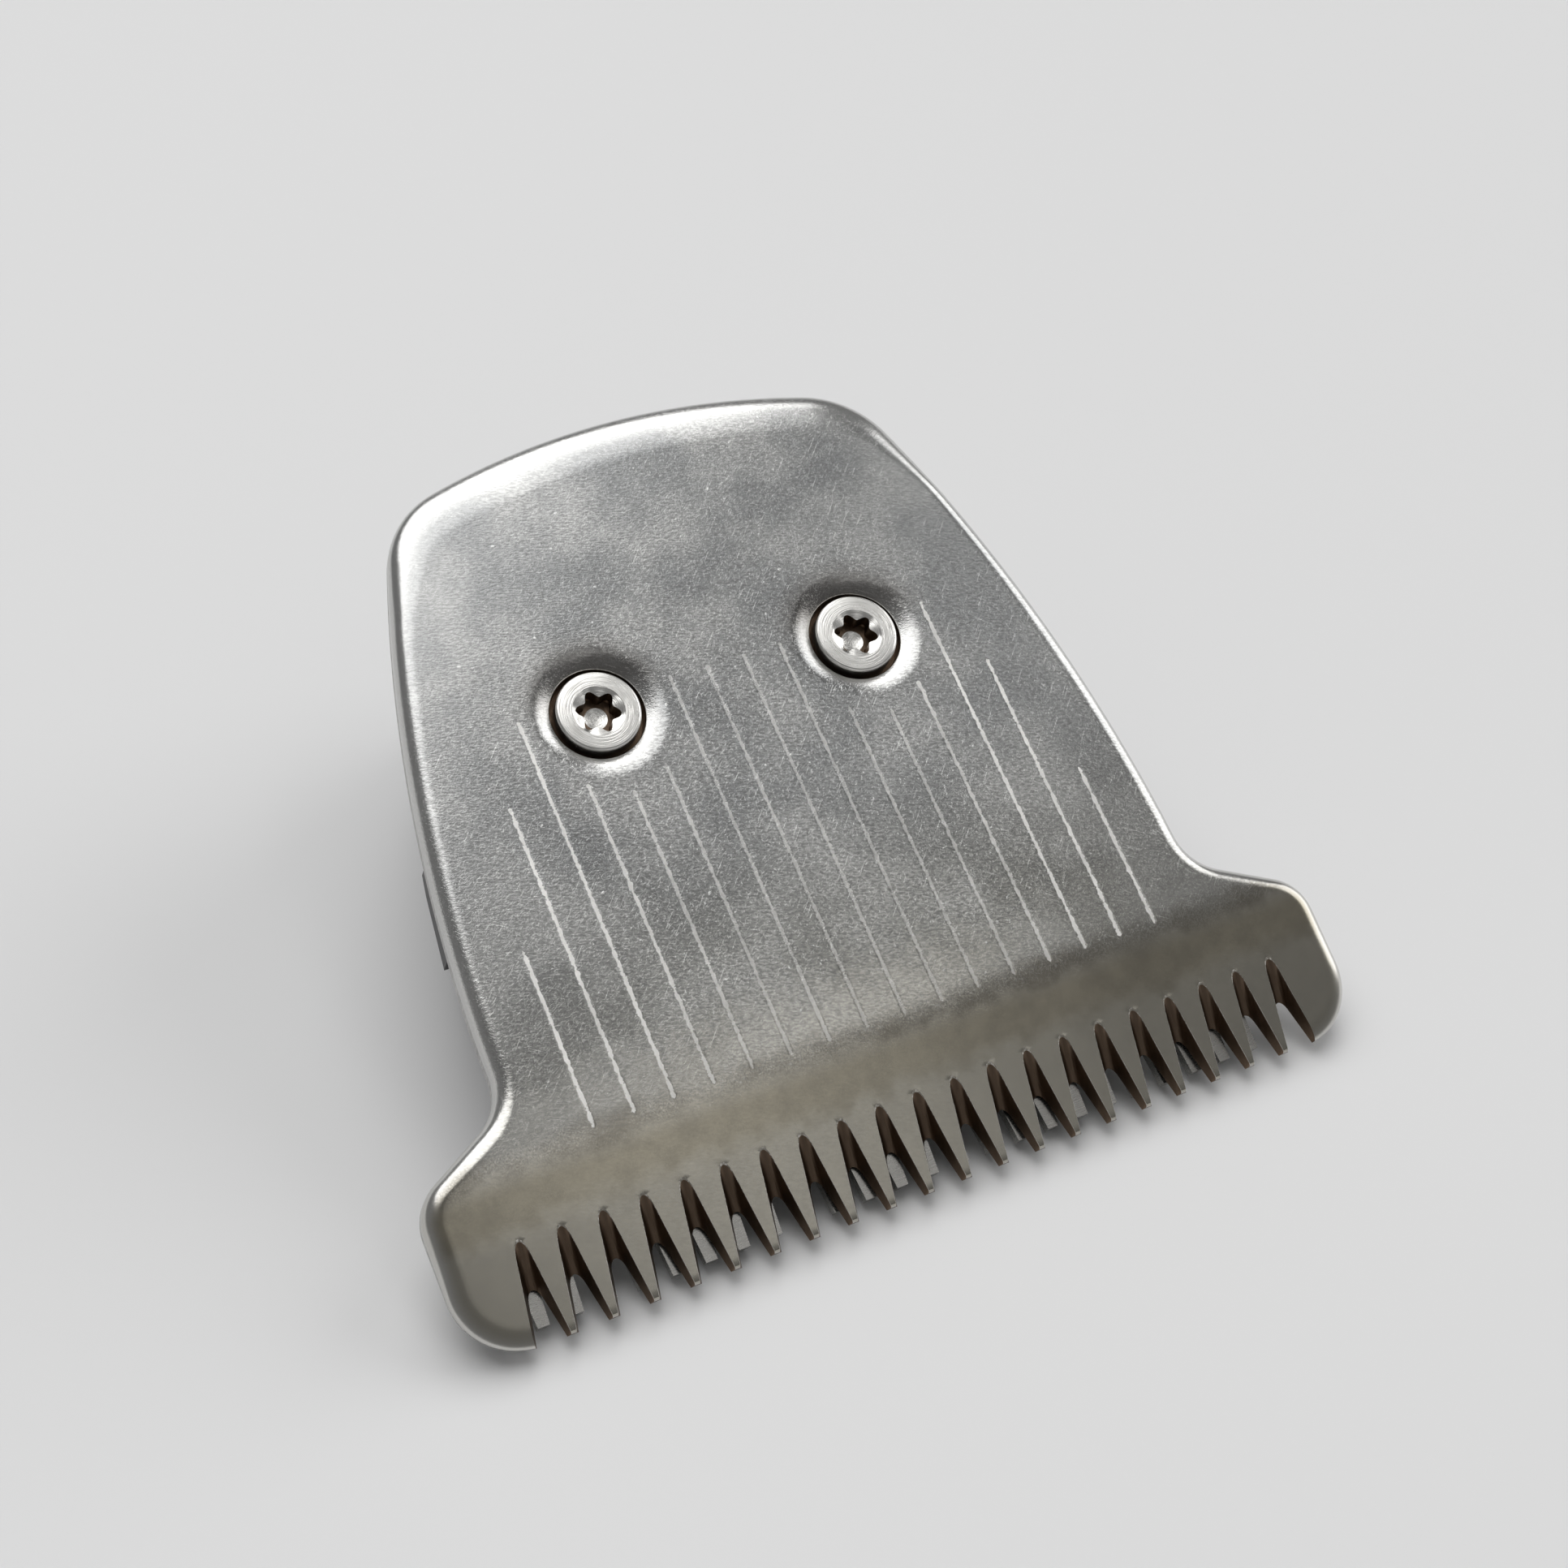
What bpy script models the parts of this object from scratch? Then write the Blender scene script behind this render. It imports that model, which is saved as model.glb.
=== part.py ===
"""Detachable cutting head of a wide T-blade hair trimmer, lying on its coupling face.

The head is drawn in the blade's own frame: X along the teeth, Y from the teeth to the rounded
rear edge, Z out of the blade's top face, which is the plane z = 0. One empty tilts that frame
so that the coupling face lies on the ground plane. All sizes are in metres.
"""

import math

import bmesh
import bpy
import numpy as np
from mathutils import Matrix, Vector

# Posture of the head on its coupling face
REST_TILT = math.radians(25.0)
TIP_CLEARANCE = 0.0003

# Clearances
SEAT_GAP = 0.0003
BLADE_GAP = 0.0002
SCREW_GAP = 0.0001

# Guard blade: plan outline
SLOT_PITCH = 0.00173
SLOT_COUNT = 21
EAR_WIDTH = 0.00325
TIP_Y = -0.0069
EAR_CORNER_Y = -0.00625
EAR_SLOPE_WIDTH = 0.00255
SHOULDER_DROP = math.radians(29.0)
SHOULDER_Y = 0.00216
NECK_HALF_WIDTH = 0.0160
REAR_Y = 0.0299
REAR_CROWN_RADIUS = 0.0329
SIDE_RADIUS = 0.072
SIDE_WIDEST_Y = 0.0021
REAR_CORNER_RADIUS = 0.0045
NECK_FILLET = 0.0023
SHOULDER_ROUND = 0.0021
EAR_ROUND = 0.0028

# Guard blade: section, rounded rim and teeth
BLADE_THICKNESS = 0.0013
STRIP_SLOPE = 0.12
TOOTH_SLOPE = 0.15
FACET_Y = -0.00295
REAR_RIM_WIDTH = 0.0021
SIDE_RIM_WIDTH = 0.0008
RIM_BLEND = 0.0080
RIM_DEPTH = 0.0009
RIM_STEPS = 5
GROOVE_START_Y = -0.00297
GROOVE_EXIT_Y = -0.00478
GROOVE_ROOT_RADIUS = 0.00032
GROOVE_WALL_ANGLE = math.radians(23.1)
GROOVE_LAND = 0.00006

# Screws and the dimpled holes that they sit in
SCREW_X = 0.0061
SCREW_Y = 0.0166
SCREW_HEAD_RADIUS = 0.00183
SCREW_HEAD_HEIGHT = 0.00115
SCREW_SHANK_RADIUS = 0.0012
SCREW_LENGTH = 0.0062
SCREW_EDGE_ROUND = 0.0003
LOBE_RADIUS = 0.00098
LOBE_DEPTH = 0.0007
LOBE_COUNT = 6
LOBE_SWELL = 0.13
DIMPLE_DEPTH = 0.0012
DIMPLE_LIP = 0.0007
DIMPLE_LIP_DEPTH = 0.00025
DIMPLE_SIDE_GAP = 0.00022
DIMPLE_WALL = 0.0007
DIMPLE_FLOOR = 0.0008

# Moving blade
CUTTER_PITCH = 0.00142
CUTTER_TEETH = 25
CUTTER_THICKNESS = 0.0005
CUTTER_TIP_Y = -0.0062
CUTTER_ROOT_Y = -0.0029
CUTTER_TIP_WIDTH = 0.00050
CUTTER_ROOT_WIDTH = 0.00092
CUTTER_BAR_REAR_Y = 0.0004
CUTTER_TONGUE_HALF_WIDTH = 0.0105
CUTTER_TONGUE_REAR_Y = 0.0090
CUTTER_PARK_X = -0.00029

# Carrier that drives the moving blade
CARRIER_HALF_WIDTH = 0.0104
CARRIER_FRONT_Y = 0.0040
CARRIER_REAR_Y = 0.0125
CARRIER_THICKNESS = 0.0014
CARRIER_CORNER = 0.0015
STROKE_HALF = 0.0012
FORK_HALF_WIDTH = 0.0040
FORK_FRONT_Y = 0.0062
FORK_REAR_STEP = 0.0004
FORK_FOOT_Z = 0.0024
DRIVE_SLOT_WIDTH = 0.0030
DRIVE_SLOT_LENGTH = 0.0044
DRIVE_SLOT_REAR_WALL = 0.0009
RIVET_X = 0.0072
RIVET_Y = 0.0064
RIVET_RADIUS = 0.0007
RIVET_HEAD_RADIUS = 0.0013
RIVET_HEAD_HEIGHT = 0.0004

# Guide plate behind the moving blade
GUIDE_HALF_WIDTH = 0.0106
GUIDE_REAR_Y = 0.0216
GUIDE_CORNER_RADIUS = 0.0020

# Housing: drafted wedge split into a frame and a coupling base
HOUSING_INSET = 0.0005
HOUSING_FRONT_Y = 0.0022
HOUSING_FRONT_CORNER = 0.0012
HOUSING_REAR_CORNER = 0.0075
HOUSING_DRAFT = math.radians(12.5)
HOUSING_WALL = 0.0012
HOUSING_RIM = 0.0010
LUG_INSET = 0.0007
LUG_FRONT_Y = 0.0098
LUG_REAR_Y = 0.0141
LUG_TOP_Z = -0.0032
LUG_FOOT_Z = -0.0062
DECK_THICKNESS = 0.0012
DECK_FRONT_Y = 0.0132
BOSS_RADIUS = 0.0025
BOSS_LENGTH = 0.0058
SPLIT_Z = 0.0024
FLOOR_THICKNESS = 0.0012

# Coupling features in the floor of the base
WINDOW_HALF_WIDTH = 0.0065
WINDOW_HALF_LENGTH = 0.0034
HOOK_SLOT_LENGTH = 0.0040
HOOK_SLOT_WIDTH = 0.0016
HOOK_SLOT_X = 0.0092
HOOK_SLOT_SETBACK = 0.0011
TONGUE_HALF_WIDTH = 0.0022
TONGUE_LENGTH = 0.0062
TONGUE_SLIT = 0.0008
TONGUE_SETBACK = 0.0030
CATCH_HEIGHT = 0.0010
CATCH_LENGTH = 0.0012

# Pressure spring on its pin
WIRE_RADIUS = 0.0003
COIL_RADIUS = 0.0018
COIL_TURNS = 3
COIL_PITCH = 0.00105
COIL_POINTS_PER_TURN = 10
COIL_Y = 0.0220
COIL_Z = -0.0063
SPRING_LEG_X = 0.0092
SPRING_TOE_Y = 0.0086
SPRING_TAIL_Y = 0.0262
SPRING_TAIL_BEND = 0.0012
PIN_RADIUS = 0.0011
PIN_HALF_LENGTH = 0.0094
RIB_X = 0.0042
RIB_THICKNESS = 0.0012
RIB_HALF_LENGTH = 0.0022

# Facets
ARC_STEP = math.radians(12.0)
FINE_STEP = math.radians(3.0)
COARSE_STEP = math.radians(30.0)
ROUND_STEPS = 24
FAR = 0.05
BOTTOM_MARGIN = 0.002
WELD = 1e-7
FLAT = 0.005

# Levels that follow from the sizes above, in the blade's frame
BLADE_FOOT_Z = -BLADE_THICKNESS
CUTTER_TOP_Z = BLADE_FOOT_Z - BLADE_GAP
CUTTER_FOOT_Z = CUTTER_TOP_Z - CUTTER_THICKNESS
CARRIER_TOP_Z = CUTTER_FOOT_Z - SEAT_GAP
CARRIER_FOOT_Z = CARRIER_TOP_Z - CARRIER_THICKNESS
DIMPLE_RADIUS = SCREW_HEAD_RADIUS + DIMPLE_SIDE_GAP
DIMPLE_FOOT_Z = -DIMPLE_DEPTH - DIMPLE_FLOOR
DECK_TOP_Z = min(CUTTER_FOOT_Z, DIMPLE_FOOT_Z) - SEAT_GAP
DECK_FOOT_Z = DECK_TOP_Z - DECK_THICKNESS
HOUSING_TOP_Z = BLADE_FOOT_Z - SEAT_GAP
HOUSING_DEPTH_Z = HOUSING_TOP_Z - (REAR_Y - TIP_Y) * math.tan(REST_TILT) - BOTTOM_MARGIN
SLOT_X = [(i - (SLOT_COUNT - 1) / 2) * SLOT_PITCH for i in range(SLOT_COUNT)]
EAR_SIDE_X = SLOT_X[-1] + EAR_WIDTH
EAR_TIP_X = EAR_SIDE_X - EAR_SLOPE_WIDTH
SCREW_PLACES = ((-SCREW_X, "left"), (SCREW_X, "right"))


# Plain geometry in the blade's plane

def arc(centre, radius, start, end, step=ARC_STEP):
    """Points of a circular arc from angle start to angle end, both ends included."""
    count = max(2, math.ceil(abs(end - start) / step) + 1)
    angles = np.linspace(start, end, count)
    return [(centre[0] + radius * math.cos(a), centre[1] + radius * math.sin(a)) for a in angles]


def filleted(path):
    """Points of an open path of (x, y, radius) corners, each corner rounded by its radius."""
    points = [path[0][:2]]
    for before, here, after in zip(path, path[1:], path[2:]):
        corner = Vector(here[:2])
        back = (Vector(before[:2]) - corner).normalized()
        ahead = (Vector(after[:2]) - corner).normalized()
        if here[2] == 0:
            points.append(tuple(corner))
            continue
        half = back.angle(ahead) / 2
        centre = corner + (back + ahead).normalized() * here[2] / math.sin(half)
        first = corner + back * here[2] / math.tan(half) - centre
        last = corner + ahead * here[2] / math.tan(half) - centre
        start = math.atan2(first.y, first.x)
        turn = math.remainder(math.atan2(last.y, last.x) - start, math.tau)
        points += arc(centre, here[2], start, start + turn)
    return points + [path[-1][:2]]


def rear_and_side(inset, corner_radius=REAR_CORNER_RADIUS):
    """Right half of the body's edge from the rear centre to the widest point, moved in by inset.

    The crowned rear and the bowed side are circles, and the corner is a circle that touches
    both from inside, so its centre lies where the two reduced circles cross.
    """
    crown = Vector((0, REAR_Y - REAR_CROWN_RADIUS))
    side = Vector((NECK_HALF_WIDTH - SIDE_RADIUS, SIDE_WIDEST_Y))
    from_crown = REAR_CROWN_RADIUS - corner_radius
    from_side = SIDE_RADIUS - corner_radius
    apart = side - crown
    along = (from_crown**2 - from_side**2 + apart.length_squared) / (2 * apart.length)
    across = math.sqrt(from_crown**2 - along**2)
    ahead = apart.normalized()
    corner = crown + ahead * along + Vector((-ahead.y, ahead.x)) * -across
    crown_end = math.atan2(corner.y - crown.y, corner.x)
    side_start = math.atan2(corner.y - side.y, corner.x - side.x)
    points = arc(crown, REAR_CROWN_RADIUS - inset, math.pi / 2, crown_end, FINE_STEP)
    points += arc(corner, corner_radius - inset, crown_end, side_start)[1:]
    points += arc(side, SIDE_RADIUS - inset, side_start, 0, FINE_STEP)[1:]
    return points


def mirrored(half):
    """Closed outline from its right half, which starts and may end on the axis x = 0."""
    left = [(-x, y) for x, y in reversed(half) if x > 1e-9]
    return half + left


def guard_outline():
    """Plan of the guard blade before its slots are ground: body, neck, shoulders and ears."""
    rise = math.tan(SHOULDER_DROP)
    shoulder_end_y = SHOULDER_Y - (EAR_SIDE_X - NECK_HALF_WIDTH) * rise
    side = rear_and_side(0)
    upper = [p for p in side if p[1] > SHOULDER_Y + NECK_FILLET]
    lower = filleted([
        (*upper[-1], 0),
        (NECK_HALF_WIDTH, SHOULDER_Y, NECK_FILLET),
        (EAR_SIDE_X, shoulder_end_y, SHOULDER_ROUND),
        (EAR_SIDE_X, EAR_CORNER_Y, EAR_ROUND),
        (EAR_TIP_X, TIP_Y, 0),
    ])
    return mirrored(upper + lower[1:])


def body_outline(inset, front_y):
    """Plan of the housing: the blade's body moved in by inset, with a straight front edge."""
    lowest = front_y + 2 * HOUSING_FRONT_CORNER
    edge = zip(rear_and_side(0, HOUSING_REAR_CORNER), rear_and_side(inset, HOUSING_REAR_CORNER))
    side = [moved for kept, moved in edge if kept[1] > lowest]
    half_width = NECK_HALF_WIDTH - inset
    front = filleted([(*side[-1], 0), (half_width, front_y, HOUSING_FRONT_CORNER), (0, front_y, 0)])
    return mirrored(side + front[1:])


def cutter_outline():
    """Plan of the moving blade: tapered teeth with round gullets, a bar, and a tongue behind it."""
    bar_half = (CUTTER_TEETH - 1) / 2 * CUTTER_PITCH + CUTTER_ROOT_WIDTH / 2
    points = [
        (bar_half, CUTTER_BAR_REAR_Y),
        (CUTTER_TONGUE_HALF_WIDTH, CUTTER_BAR_REAR_Y),
        (CUTTER_TONGUE_HALF_WIDTH, CUTTER_TONGUE_REAR_Y),
        (-CUTTER_TONGUE_HALF_WIDTH, CUTTER_TONGUE_REAR_Y),
        (-CUTTER_TONGUE_HALF_WIDTH, CUTTER_BAR_REAR_Y),
        (-bar_half, CUTTER_BAR_REAR_Y),
    ]
    gullet = (CUTTER_PITCH - CUTTER_ROOT_WIDTH) / 2
    for i in range(CUTTER_TEETH):
        x = (i - (CUTTER_TEETH - 1) / 2) * CUTTER_PITCH
        points += [
            (x - CUTTER_ROOT_WIDTH / 2, CUTTER_ROOT_Y),
            (x - CUTTER_TIP_WIDTH / 2, CUTTER_TIP_Y),
            (x + CUTTER_TIP_WIDTH / 2, CUTTER_TIP_Y),
            (x + CUTTER_ROOT_WIDTH / 2, CUTTER_ROOT_Y),
        ]
        if i < CUTTER_TEETH - 1:
            points += arc((x + CUTTER_PITCH / 2, CUTTER_ROOT_Y), gullet, math.pi, 0, COARSE_STEP)[1:-1]
    return points


# Mesh objects

def clear_scene():
    for obj in list(bpy.data.objects):
        bpy.data.objects.remove(obj, do_unlink=True)


def new_collection(name):
    collection = bpy.data.collections.new(name)
    bpy.context.scene.collection.children.link(collection)
    return collection


def material(name, colour, roughness, metallic):
    mat = bpy.data.materials.new(name)
    mat.use_nodes = True
    shader = mat.node_tree.nodes["Principled BSDF"]
    shader.inputs["Base Color"].default_value = (*colour, 1)
    shader.inputs["Roughness"].default_value = roughness
    shader.inputs["Metallic"].default_value = metallic
    return mat


def add_object(name, mesh, collection, parent):
    obj = bpy.data.objects.new(name, mesh)
    collection.objects.link(obj)
    obj.parent = parent
    return obj


def as_part(obj, mat):
    """Gives a finished piece its material and smooth shading with crisp edges."""
    obj.data.materials.clear()
    obj.data.materials.append(mat)
    obj.data.shade_smooth()
    obj.data.set_sharp_from_angle(angle=math.radians(35))
    return obj


def mesh_of(obj):
    """The object's evaluated shape as one welded mesh, and the object itself removed."""
    bpy.context.view_layer.update()
    graph = bpy.context.evaluated_depsgraph_get()
    mesh = bpy.data.meshes.new_from_object(obj.evaluated_get(graph))
    shape = bmesh.new()
    shape.from_mesh(mesh)
    bmesh.ops.remove_doubles(shape, verts=shape.verts, dist=WELD)
    bmesh.ops.dissolve_limit(shape, angle_limit=FLAT, verts=shape.verts, edges=shape.edges)
    bmesh.ops.recalc_face_normals(shape, faces=shape.faces)
    shape.to_mesh(mesh)
    shape.free()
    bpy.data.objects.remove(obj, do_unlink=True)
    return mesh


def extruded(outline, low, high):
    """A flat outline given a thickness from z = low to z = high."""
    curve = bpy.data.curves.new("outline", "CURVE")
    curve.dimensions = "2D"
    curve.fill_mode = "BOTH"
    curve.extrude = (high - low) / 2
    spline = curve.splines.new("POLY")
    spline.points.add(len(outline) - 1)
    for point, (x, y) in zip(spline.points, outline):
        point.co = (x, y, 0, 1)
    spline.use_cyclic_u = True
    mesh = mesh_of(add_object("outline", curve, bpy.context.scene.collection, None))
    mesh.transform(Matrix.Translation((0, 0, (low + high) / 2)))
    return mesh


def lofted(rings):
    """A block through rings of points, lowest ring first, each with as many points, capped flat."""
    shape = bmesh.new()
    loops = [[shape.verts.new(point) for point in ring] for ring in rings]
    shape.faces.new(reversed(loops[0]))
    shape.faces.new(loops[-1])
    for low, high in zip(loops, loops[1:]):
        for i, j in zip(range(-1, len(low) - 1), range(len(low))):
            shape.faces.new((low[i], low[j], high[j], high[i]))
    bmesh.ops.recalc_face_normals(shape, faces=shape.faces)
    mesh = bpy.data.meshes.new("loft")
    shape.to_mesh(mesh)
    shape.free()
    return mesh


def at_height(outline, z):
    return [(x, y, z) for x, y in outline]


def box(low, high):
    shape = bmesh.new()
    bmesh.ops.create_cube(shape, size=1)
    size = Vector(high) - Vector(low)
    middle = (Vector(high) + Vector(low)) / 2
    bmesh.ops.transform(shape, matrix=Matrix.LocRotScale(middle, None, size), verts=shape.verts)
    mesh = bpy.data.meshes.new("box")
    shape.to_mesh(mesh)
    shape.free()
    return mesh


def cylinder(radius, low, high, place=(0, 0)):
    shape = bmesh.new()
    bmesh.ops.create_cone(shape, cap_ends=True, segments=ROUND_STEPS, radius1=radius, radius2=radius,
                          depth=high - low)
    bmesh.ops.translate(shape, vec=(*place, (low + high) / 2), verts=shape.verts)
    mesh = bpy.data.meshes.new("cylinder")
    shape.to_mesh(mesh)
    shape.free()
    return mesh


def turned(profile, place=(0, 0)):
    """A profile of (radius, z) points, top to bottom, turned about the vertical axis at place."""
    mesh = bpy.data.meshes.new("profile")
    mesh.from_pydata([(r, 0, z) for r, z in profile], [(i, i + 1) for i in range(len(profile) - 1)], [])
    obj = add_object("turning", mesh, bpy.context.scene.collection, None)
    screw = obj.modifiers.new("Turn", "SCREW")
    screw.steps = ROUND_STEPS
    screw.render_steps = ROUND_STEPS
    screw.use_merge_vertices = True
    screw.merge_threshold = 1e-6
    mesh = mesh_of(obj)
    mesh.transform(Matrix.Translation((*place, 0)))
    return mesh


def boolean(obj, operation, mesh, cutters, parent):
    """Joins a mesh to a piece, or takes it away, by a live modifier with a hidden cutter."""
    cutter = add_object(f"{obj.name}_{operation.lower()}", mesh, cutters, parent)
    cutter.hide_render = True
    cutter.display_type = "WIRE"
    modifier = obj.modifiers.new(operation.title(), "BOOLEAN")
    modifier.operation = operation
    modifier.object = cutter
    return cutter


def joined(meshes):
    """Several separate closed meshes as one cutter mesh."""
    shape = bmesh.new()
    for mesh in meshes:
        shape.from_mesh(mesh)
    whole = bpy.data.meshes.new("cutters")
    shape.to_mesh(whole)
    shape.free()
    return whole


# Pieces of the blade set

def face_drop(y):
    """Height of the flat top face at y: level behind the bend, then the strip, then the tooth facet."""
    return STRIP_SLOPE * min(0, y) + (TOOTH_SLOPE - STRIP_SLOPE) * min(0, y - FACET_Y)


def rim_width(y):
    """Width of the rounded rim: wide along the rear, narrower on the sides, none at the tooth tips."""
    rear = min(1, max(0, (y - REAR_Y) / RIM_BLEND + 1))
    front = min(1, max(0, (y - TIP_Y) / (EAR_CORNER_Y - TIP_Y)))
    blend = rear * rear * (3 - 2 * rear)
    return front * SIDE_RIM_WIDTH + blend * (REAR_RIM_WIDTH - SIDE_RIM_WIDTH)


def rim_ring(outline, turn):
    """Blade outline drawn in by the rounded rim, which is a quarter ellipse from turn 0 to pi / 2."""
    ring = []
    count = len(outline)
    for i, here in enumerate(outline):
        along = Vector(outline[(i + 1) % count]) - Vector(outline[i - 1])
        inward = Vector((along.y, -along.x)).normalized()
        width = rim_width(here[1])
        depth = min(width, RIM_DEPTH)
        place = Vector(here) + inward * width * (1 - math.cos(turn))
        ring.append((*place, -depth * (1 - math.sin(turn))))
    return ring


def rounded_blank():
    """Guard blade blank with its rounded rim; ahead of each bend its height tapers to the tips."""
    outline = guard_outline()
    rings = [at_height(outline, BLADE_FOOT_Z)]
    rings += [rim_ring(outline, turn) for turn in np.linspace(0, math.pi / 2, RIM_STEPS + 1)]
    shape = bmesh.new()
    shape.from_mesh(lofted(rings))
    bmesh.ops.remove_doubles(shape, verts=shape.verts, dist=WELD)
    for bend_y in (0, FACET_Y):
        everything = shape.verts[:] + shape.edges[:] + shape.faces[:]
        bmesh.ops.bisect_plane(shape, geom=everything, plane_co=(0, bend_y, 0), plane_no=(0, 1, 0))
    for vert in shape.verts:
        left = 1 + face_drop(vert.co.y) / BLADE_THICKNESS
        vert.co.z = BLADE_FOOT_Z + (vert.co.z - BLADE_FOOT_Z) * left
    mesh = bpy.data.meshes.new("guard_blade")
    shape.to_mesh(mesh)
    shape.free()
    return mesh


def groove_mesh():
    """One grinding wheel's path per slot: a round-rooted V that runs down towards the tips.

    The root leaves the strip's surface at GROOVE_START_Y and breaks through the blade's flat
    underside at GROOVE_EXIT_Y. Each path is cut off below the height where it would meet the next.
    """
    start_z = face_drop(GROOVE_START_Y)
    fall = math.atan2(start_z - BLADE_FOOT_Z, GROOVE_START_Y - GROOVE_EXIT_Y)
    root = arc((0, GROOVE_ROOT_RADIUS), GROOVE_ROOT_RADIUS, math.pi + GROOVE_WALL_ANGLE,
               math.tau - GROOVE_WALL_ANGLE, COARSE_STEP)
    half_mouth = (SLOT_PITCH - GROOVE_LAND) / 2
    top = root[-1][1] + (half_mouth - root[-1][0]) / math.tan(GROOVE_WALL_ANGLE)
    profile = root + [(half_mouth, top), (-half_mouth, top)]
    length = (GROOVE_START_Y - TIP_Y) * 2
    path = extruded(profile, -length / 4, length)
    stand = Matrix.Rotation(math.pi / 2 + fall, 4, "X")
    meshes = []
    for x in SLOT_X:
        copy = path.copy()
        copy.transform(Matrix.Translation((x, GROOVE_START_Y, start_z)) @ stand)
        meshes.append(copy)
    return joined(meshes)


def dimple_mesh(place):
    """Turned cutter of one screw hole: rolled lip, straight side, flat seat and clearance hole."""
    lip = [(DIMPLE_RADIUS + DIMPLE_LIP * (1 - math.sin(a)), -DIMPLE_LIP_DEPTH * (1 - math.cos(a)))
           for a in np.linspace(0, math.pi / 2, 5)]
    clearance = SCREW_SHANK_RADIUS + SEAT_GAP
    profile = [(0, FAR), (DIMPLE_RADIUS + DIMPLE_LIP, FAR), *lip, (DIMPLE_RADIUS, -DIMPLE_DEPTH),
               (clearance, -DIMPLE_DEPTH), (clearance, -FAR), (0, -FAR)]
    return turned(profile, place)


def make_guard_blade(parts, cutters, frame):
    obj = add_object("guard_blade", rounded_blank(), parts, frame)
    cup_radius = DIMPLE_RADIUS + DIMPLE_WALL
    for x, _ in SCREW_PLACES:
        cup = cylinder(cup_radius, DIMPLE_FOOT_Z, -DIMPLE_DEPTH + SCREW_GAP, (x, SCREW_Y))
        boolean(obj, "UNION", cup, cutters, frame)
        boolean(obj, "DIFFERENCE", dimple_mesh((x, SCREW_Y)), cutters, frame)
    boolean(obj, "DIFFERENCE", groove_mesh(), cutters, frame)
    return obj


def make_cutter_blade(parts, cutters, slide):
    outline = cutter_outline()
    blank = lofted([at_height(outline, z) for z in (CUTTER_FOOT_Z, CUTTER_TOP_Z)])
    obj = add_object("cutter_blade", blank, parts, slide)
    holes = [cylinder(RIVET_RADIUS + SEAT_GAP, -FAR, FAR, (x, RIVET_Y)) for x in (-RIVET_X, RIVET_X)]
    boolean(obj, "DIFFERENCE", joined(holes), cutters, slide)
    return obj


def make_carrier(parts, cutters, slide):
    """Carrier plate under the moving blade, with the fork that the drive pin enters from below."""
    half = filleted([
        (0, CARRIER_REAR_Y, 0),
        (CARRIER_HALF_WIDTH, CARRIER_REAR_Y, CARRIER_CORNER),
        (CARRIER_HALF_WIDTH, CARRIER_FRONT_Y, CARRIER_CORNER),
        (0, CARRIER_FRONT_Y, 0),
    ])
    plate = extruded(mirrored(half), CARRIER_FOOT_Z, CARRIER_TOP_Z)
    obj = add_object("cutter_carrier", plate, parts, slide)
    inside = CARRIER_TOP_Z - CARRIER_THICKNESS / 2
    fork = box((-FORK_HALF_WIDTH, FORK_FRONT_Y, HOUSING_DEPTH_Z),
               (FORK_HALF_WIDTH, CARRIER_REAR_Y - FORK_REAR_STEP, inside))
    boolean(obj, "UNION", fork, cutters, slide)
    boolean(obj, "DIFFERENCE", box((-FAR, -FAR, -FAR), (FAR, FAR, FORK_FOOT_Z)), cutters, None)
    boolean(obj, "DIFFERENCE", drive_slot_mesh(), cutters, slide)
    holes = [cylinder(RIVET_RADIUS + SEAT_GAP, -FAR, FAR, (x, RIVET_Y)) for x in (-RIVET_X, RIVET_X)]
    boolean(obj, "DIFFERENCE", joined(holes), cutters, slide)
    return obj


def drive_slot_mesh():
    """Round-ended slot through the fork: as wide as the drive pin, and long enough for its tilt."""
    rear_y = CARRIER_REAR_Y - FORK_REAR_STEP - DRIVE_SLOT_REAR_WALL
    radius = DRIVE_SLOT_WIDTH / 2
    rear = arc((0, rear_y - radius), radius, 0, math.pi, COARSE_STEP)
    front = arc((0, rear_y - DRIVE_SLOT_LENGTH + radius), radius, math.pi, math.tau, COARSE_STEP)
    return extruded(rear + front, -FAR, FAR)


def make_rivet(side, x, parts, slide):
    """Rivet that holds the moving blade on its carrier, with its head under the carrier."""
    seat = CARRIER_FOOT_Z - SCREW_GAP
    foot = seat - RIVET_HEAD_HEIGHT
    top = CUTTER_TOP_Z - SCREW_GAP
    profile = [(0, top), (RIVET_RADIUS, top), (RIVET_RADIUS, seat), (RIVET_HEAD_RADIUS, seat),
               (RIVET_RADIUS, foot), (0, foot)]
    return add_object(f"cutter_rivet_{side}", turned(profile, (x, RIVET_Y)), parts, slide)


# Pieces that hold the blade set

def make_guide(parts, cutters, frame):
    """Flat plate as thick as the moving blade, whose straight front edge guides that blade's tongue."""
    front_y = CUTTER_TONGUE_REAR_Y + SEAT_GAP
    half = filleted([
        (0, GUIDE_REAR_Y, 0),
        (GUIDE_HALF_WIDTH, GUIDE_REAR_Y, GUIDE_CORNER_RADIUS),
        (GUIDE_HALF_WIDTH, front_y, 0),
        (0, front_y, 0),
    ])
    obj = add_object("blade_guide", extruded(mirrored(half), CUTTER_FOOT_Z, CUTTER_TOP_Z), parts, frame)
    radius = DIMPLE_RADIUS + DIMPLE_WALL + SEAT_GAP
    holes = [cylinder(radius, -FAR, FAR, (x, SCREW_Y)) for x, _ in SCREW_PLACES]
    boolean(obj, "DIFFERENCE", joined(holes), cutters, frame)
    return obj


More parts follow.
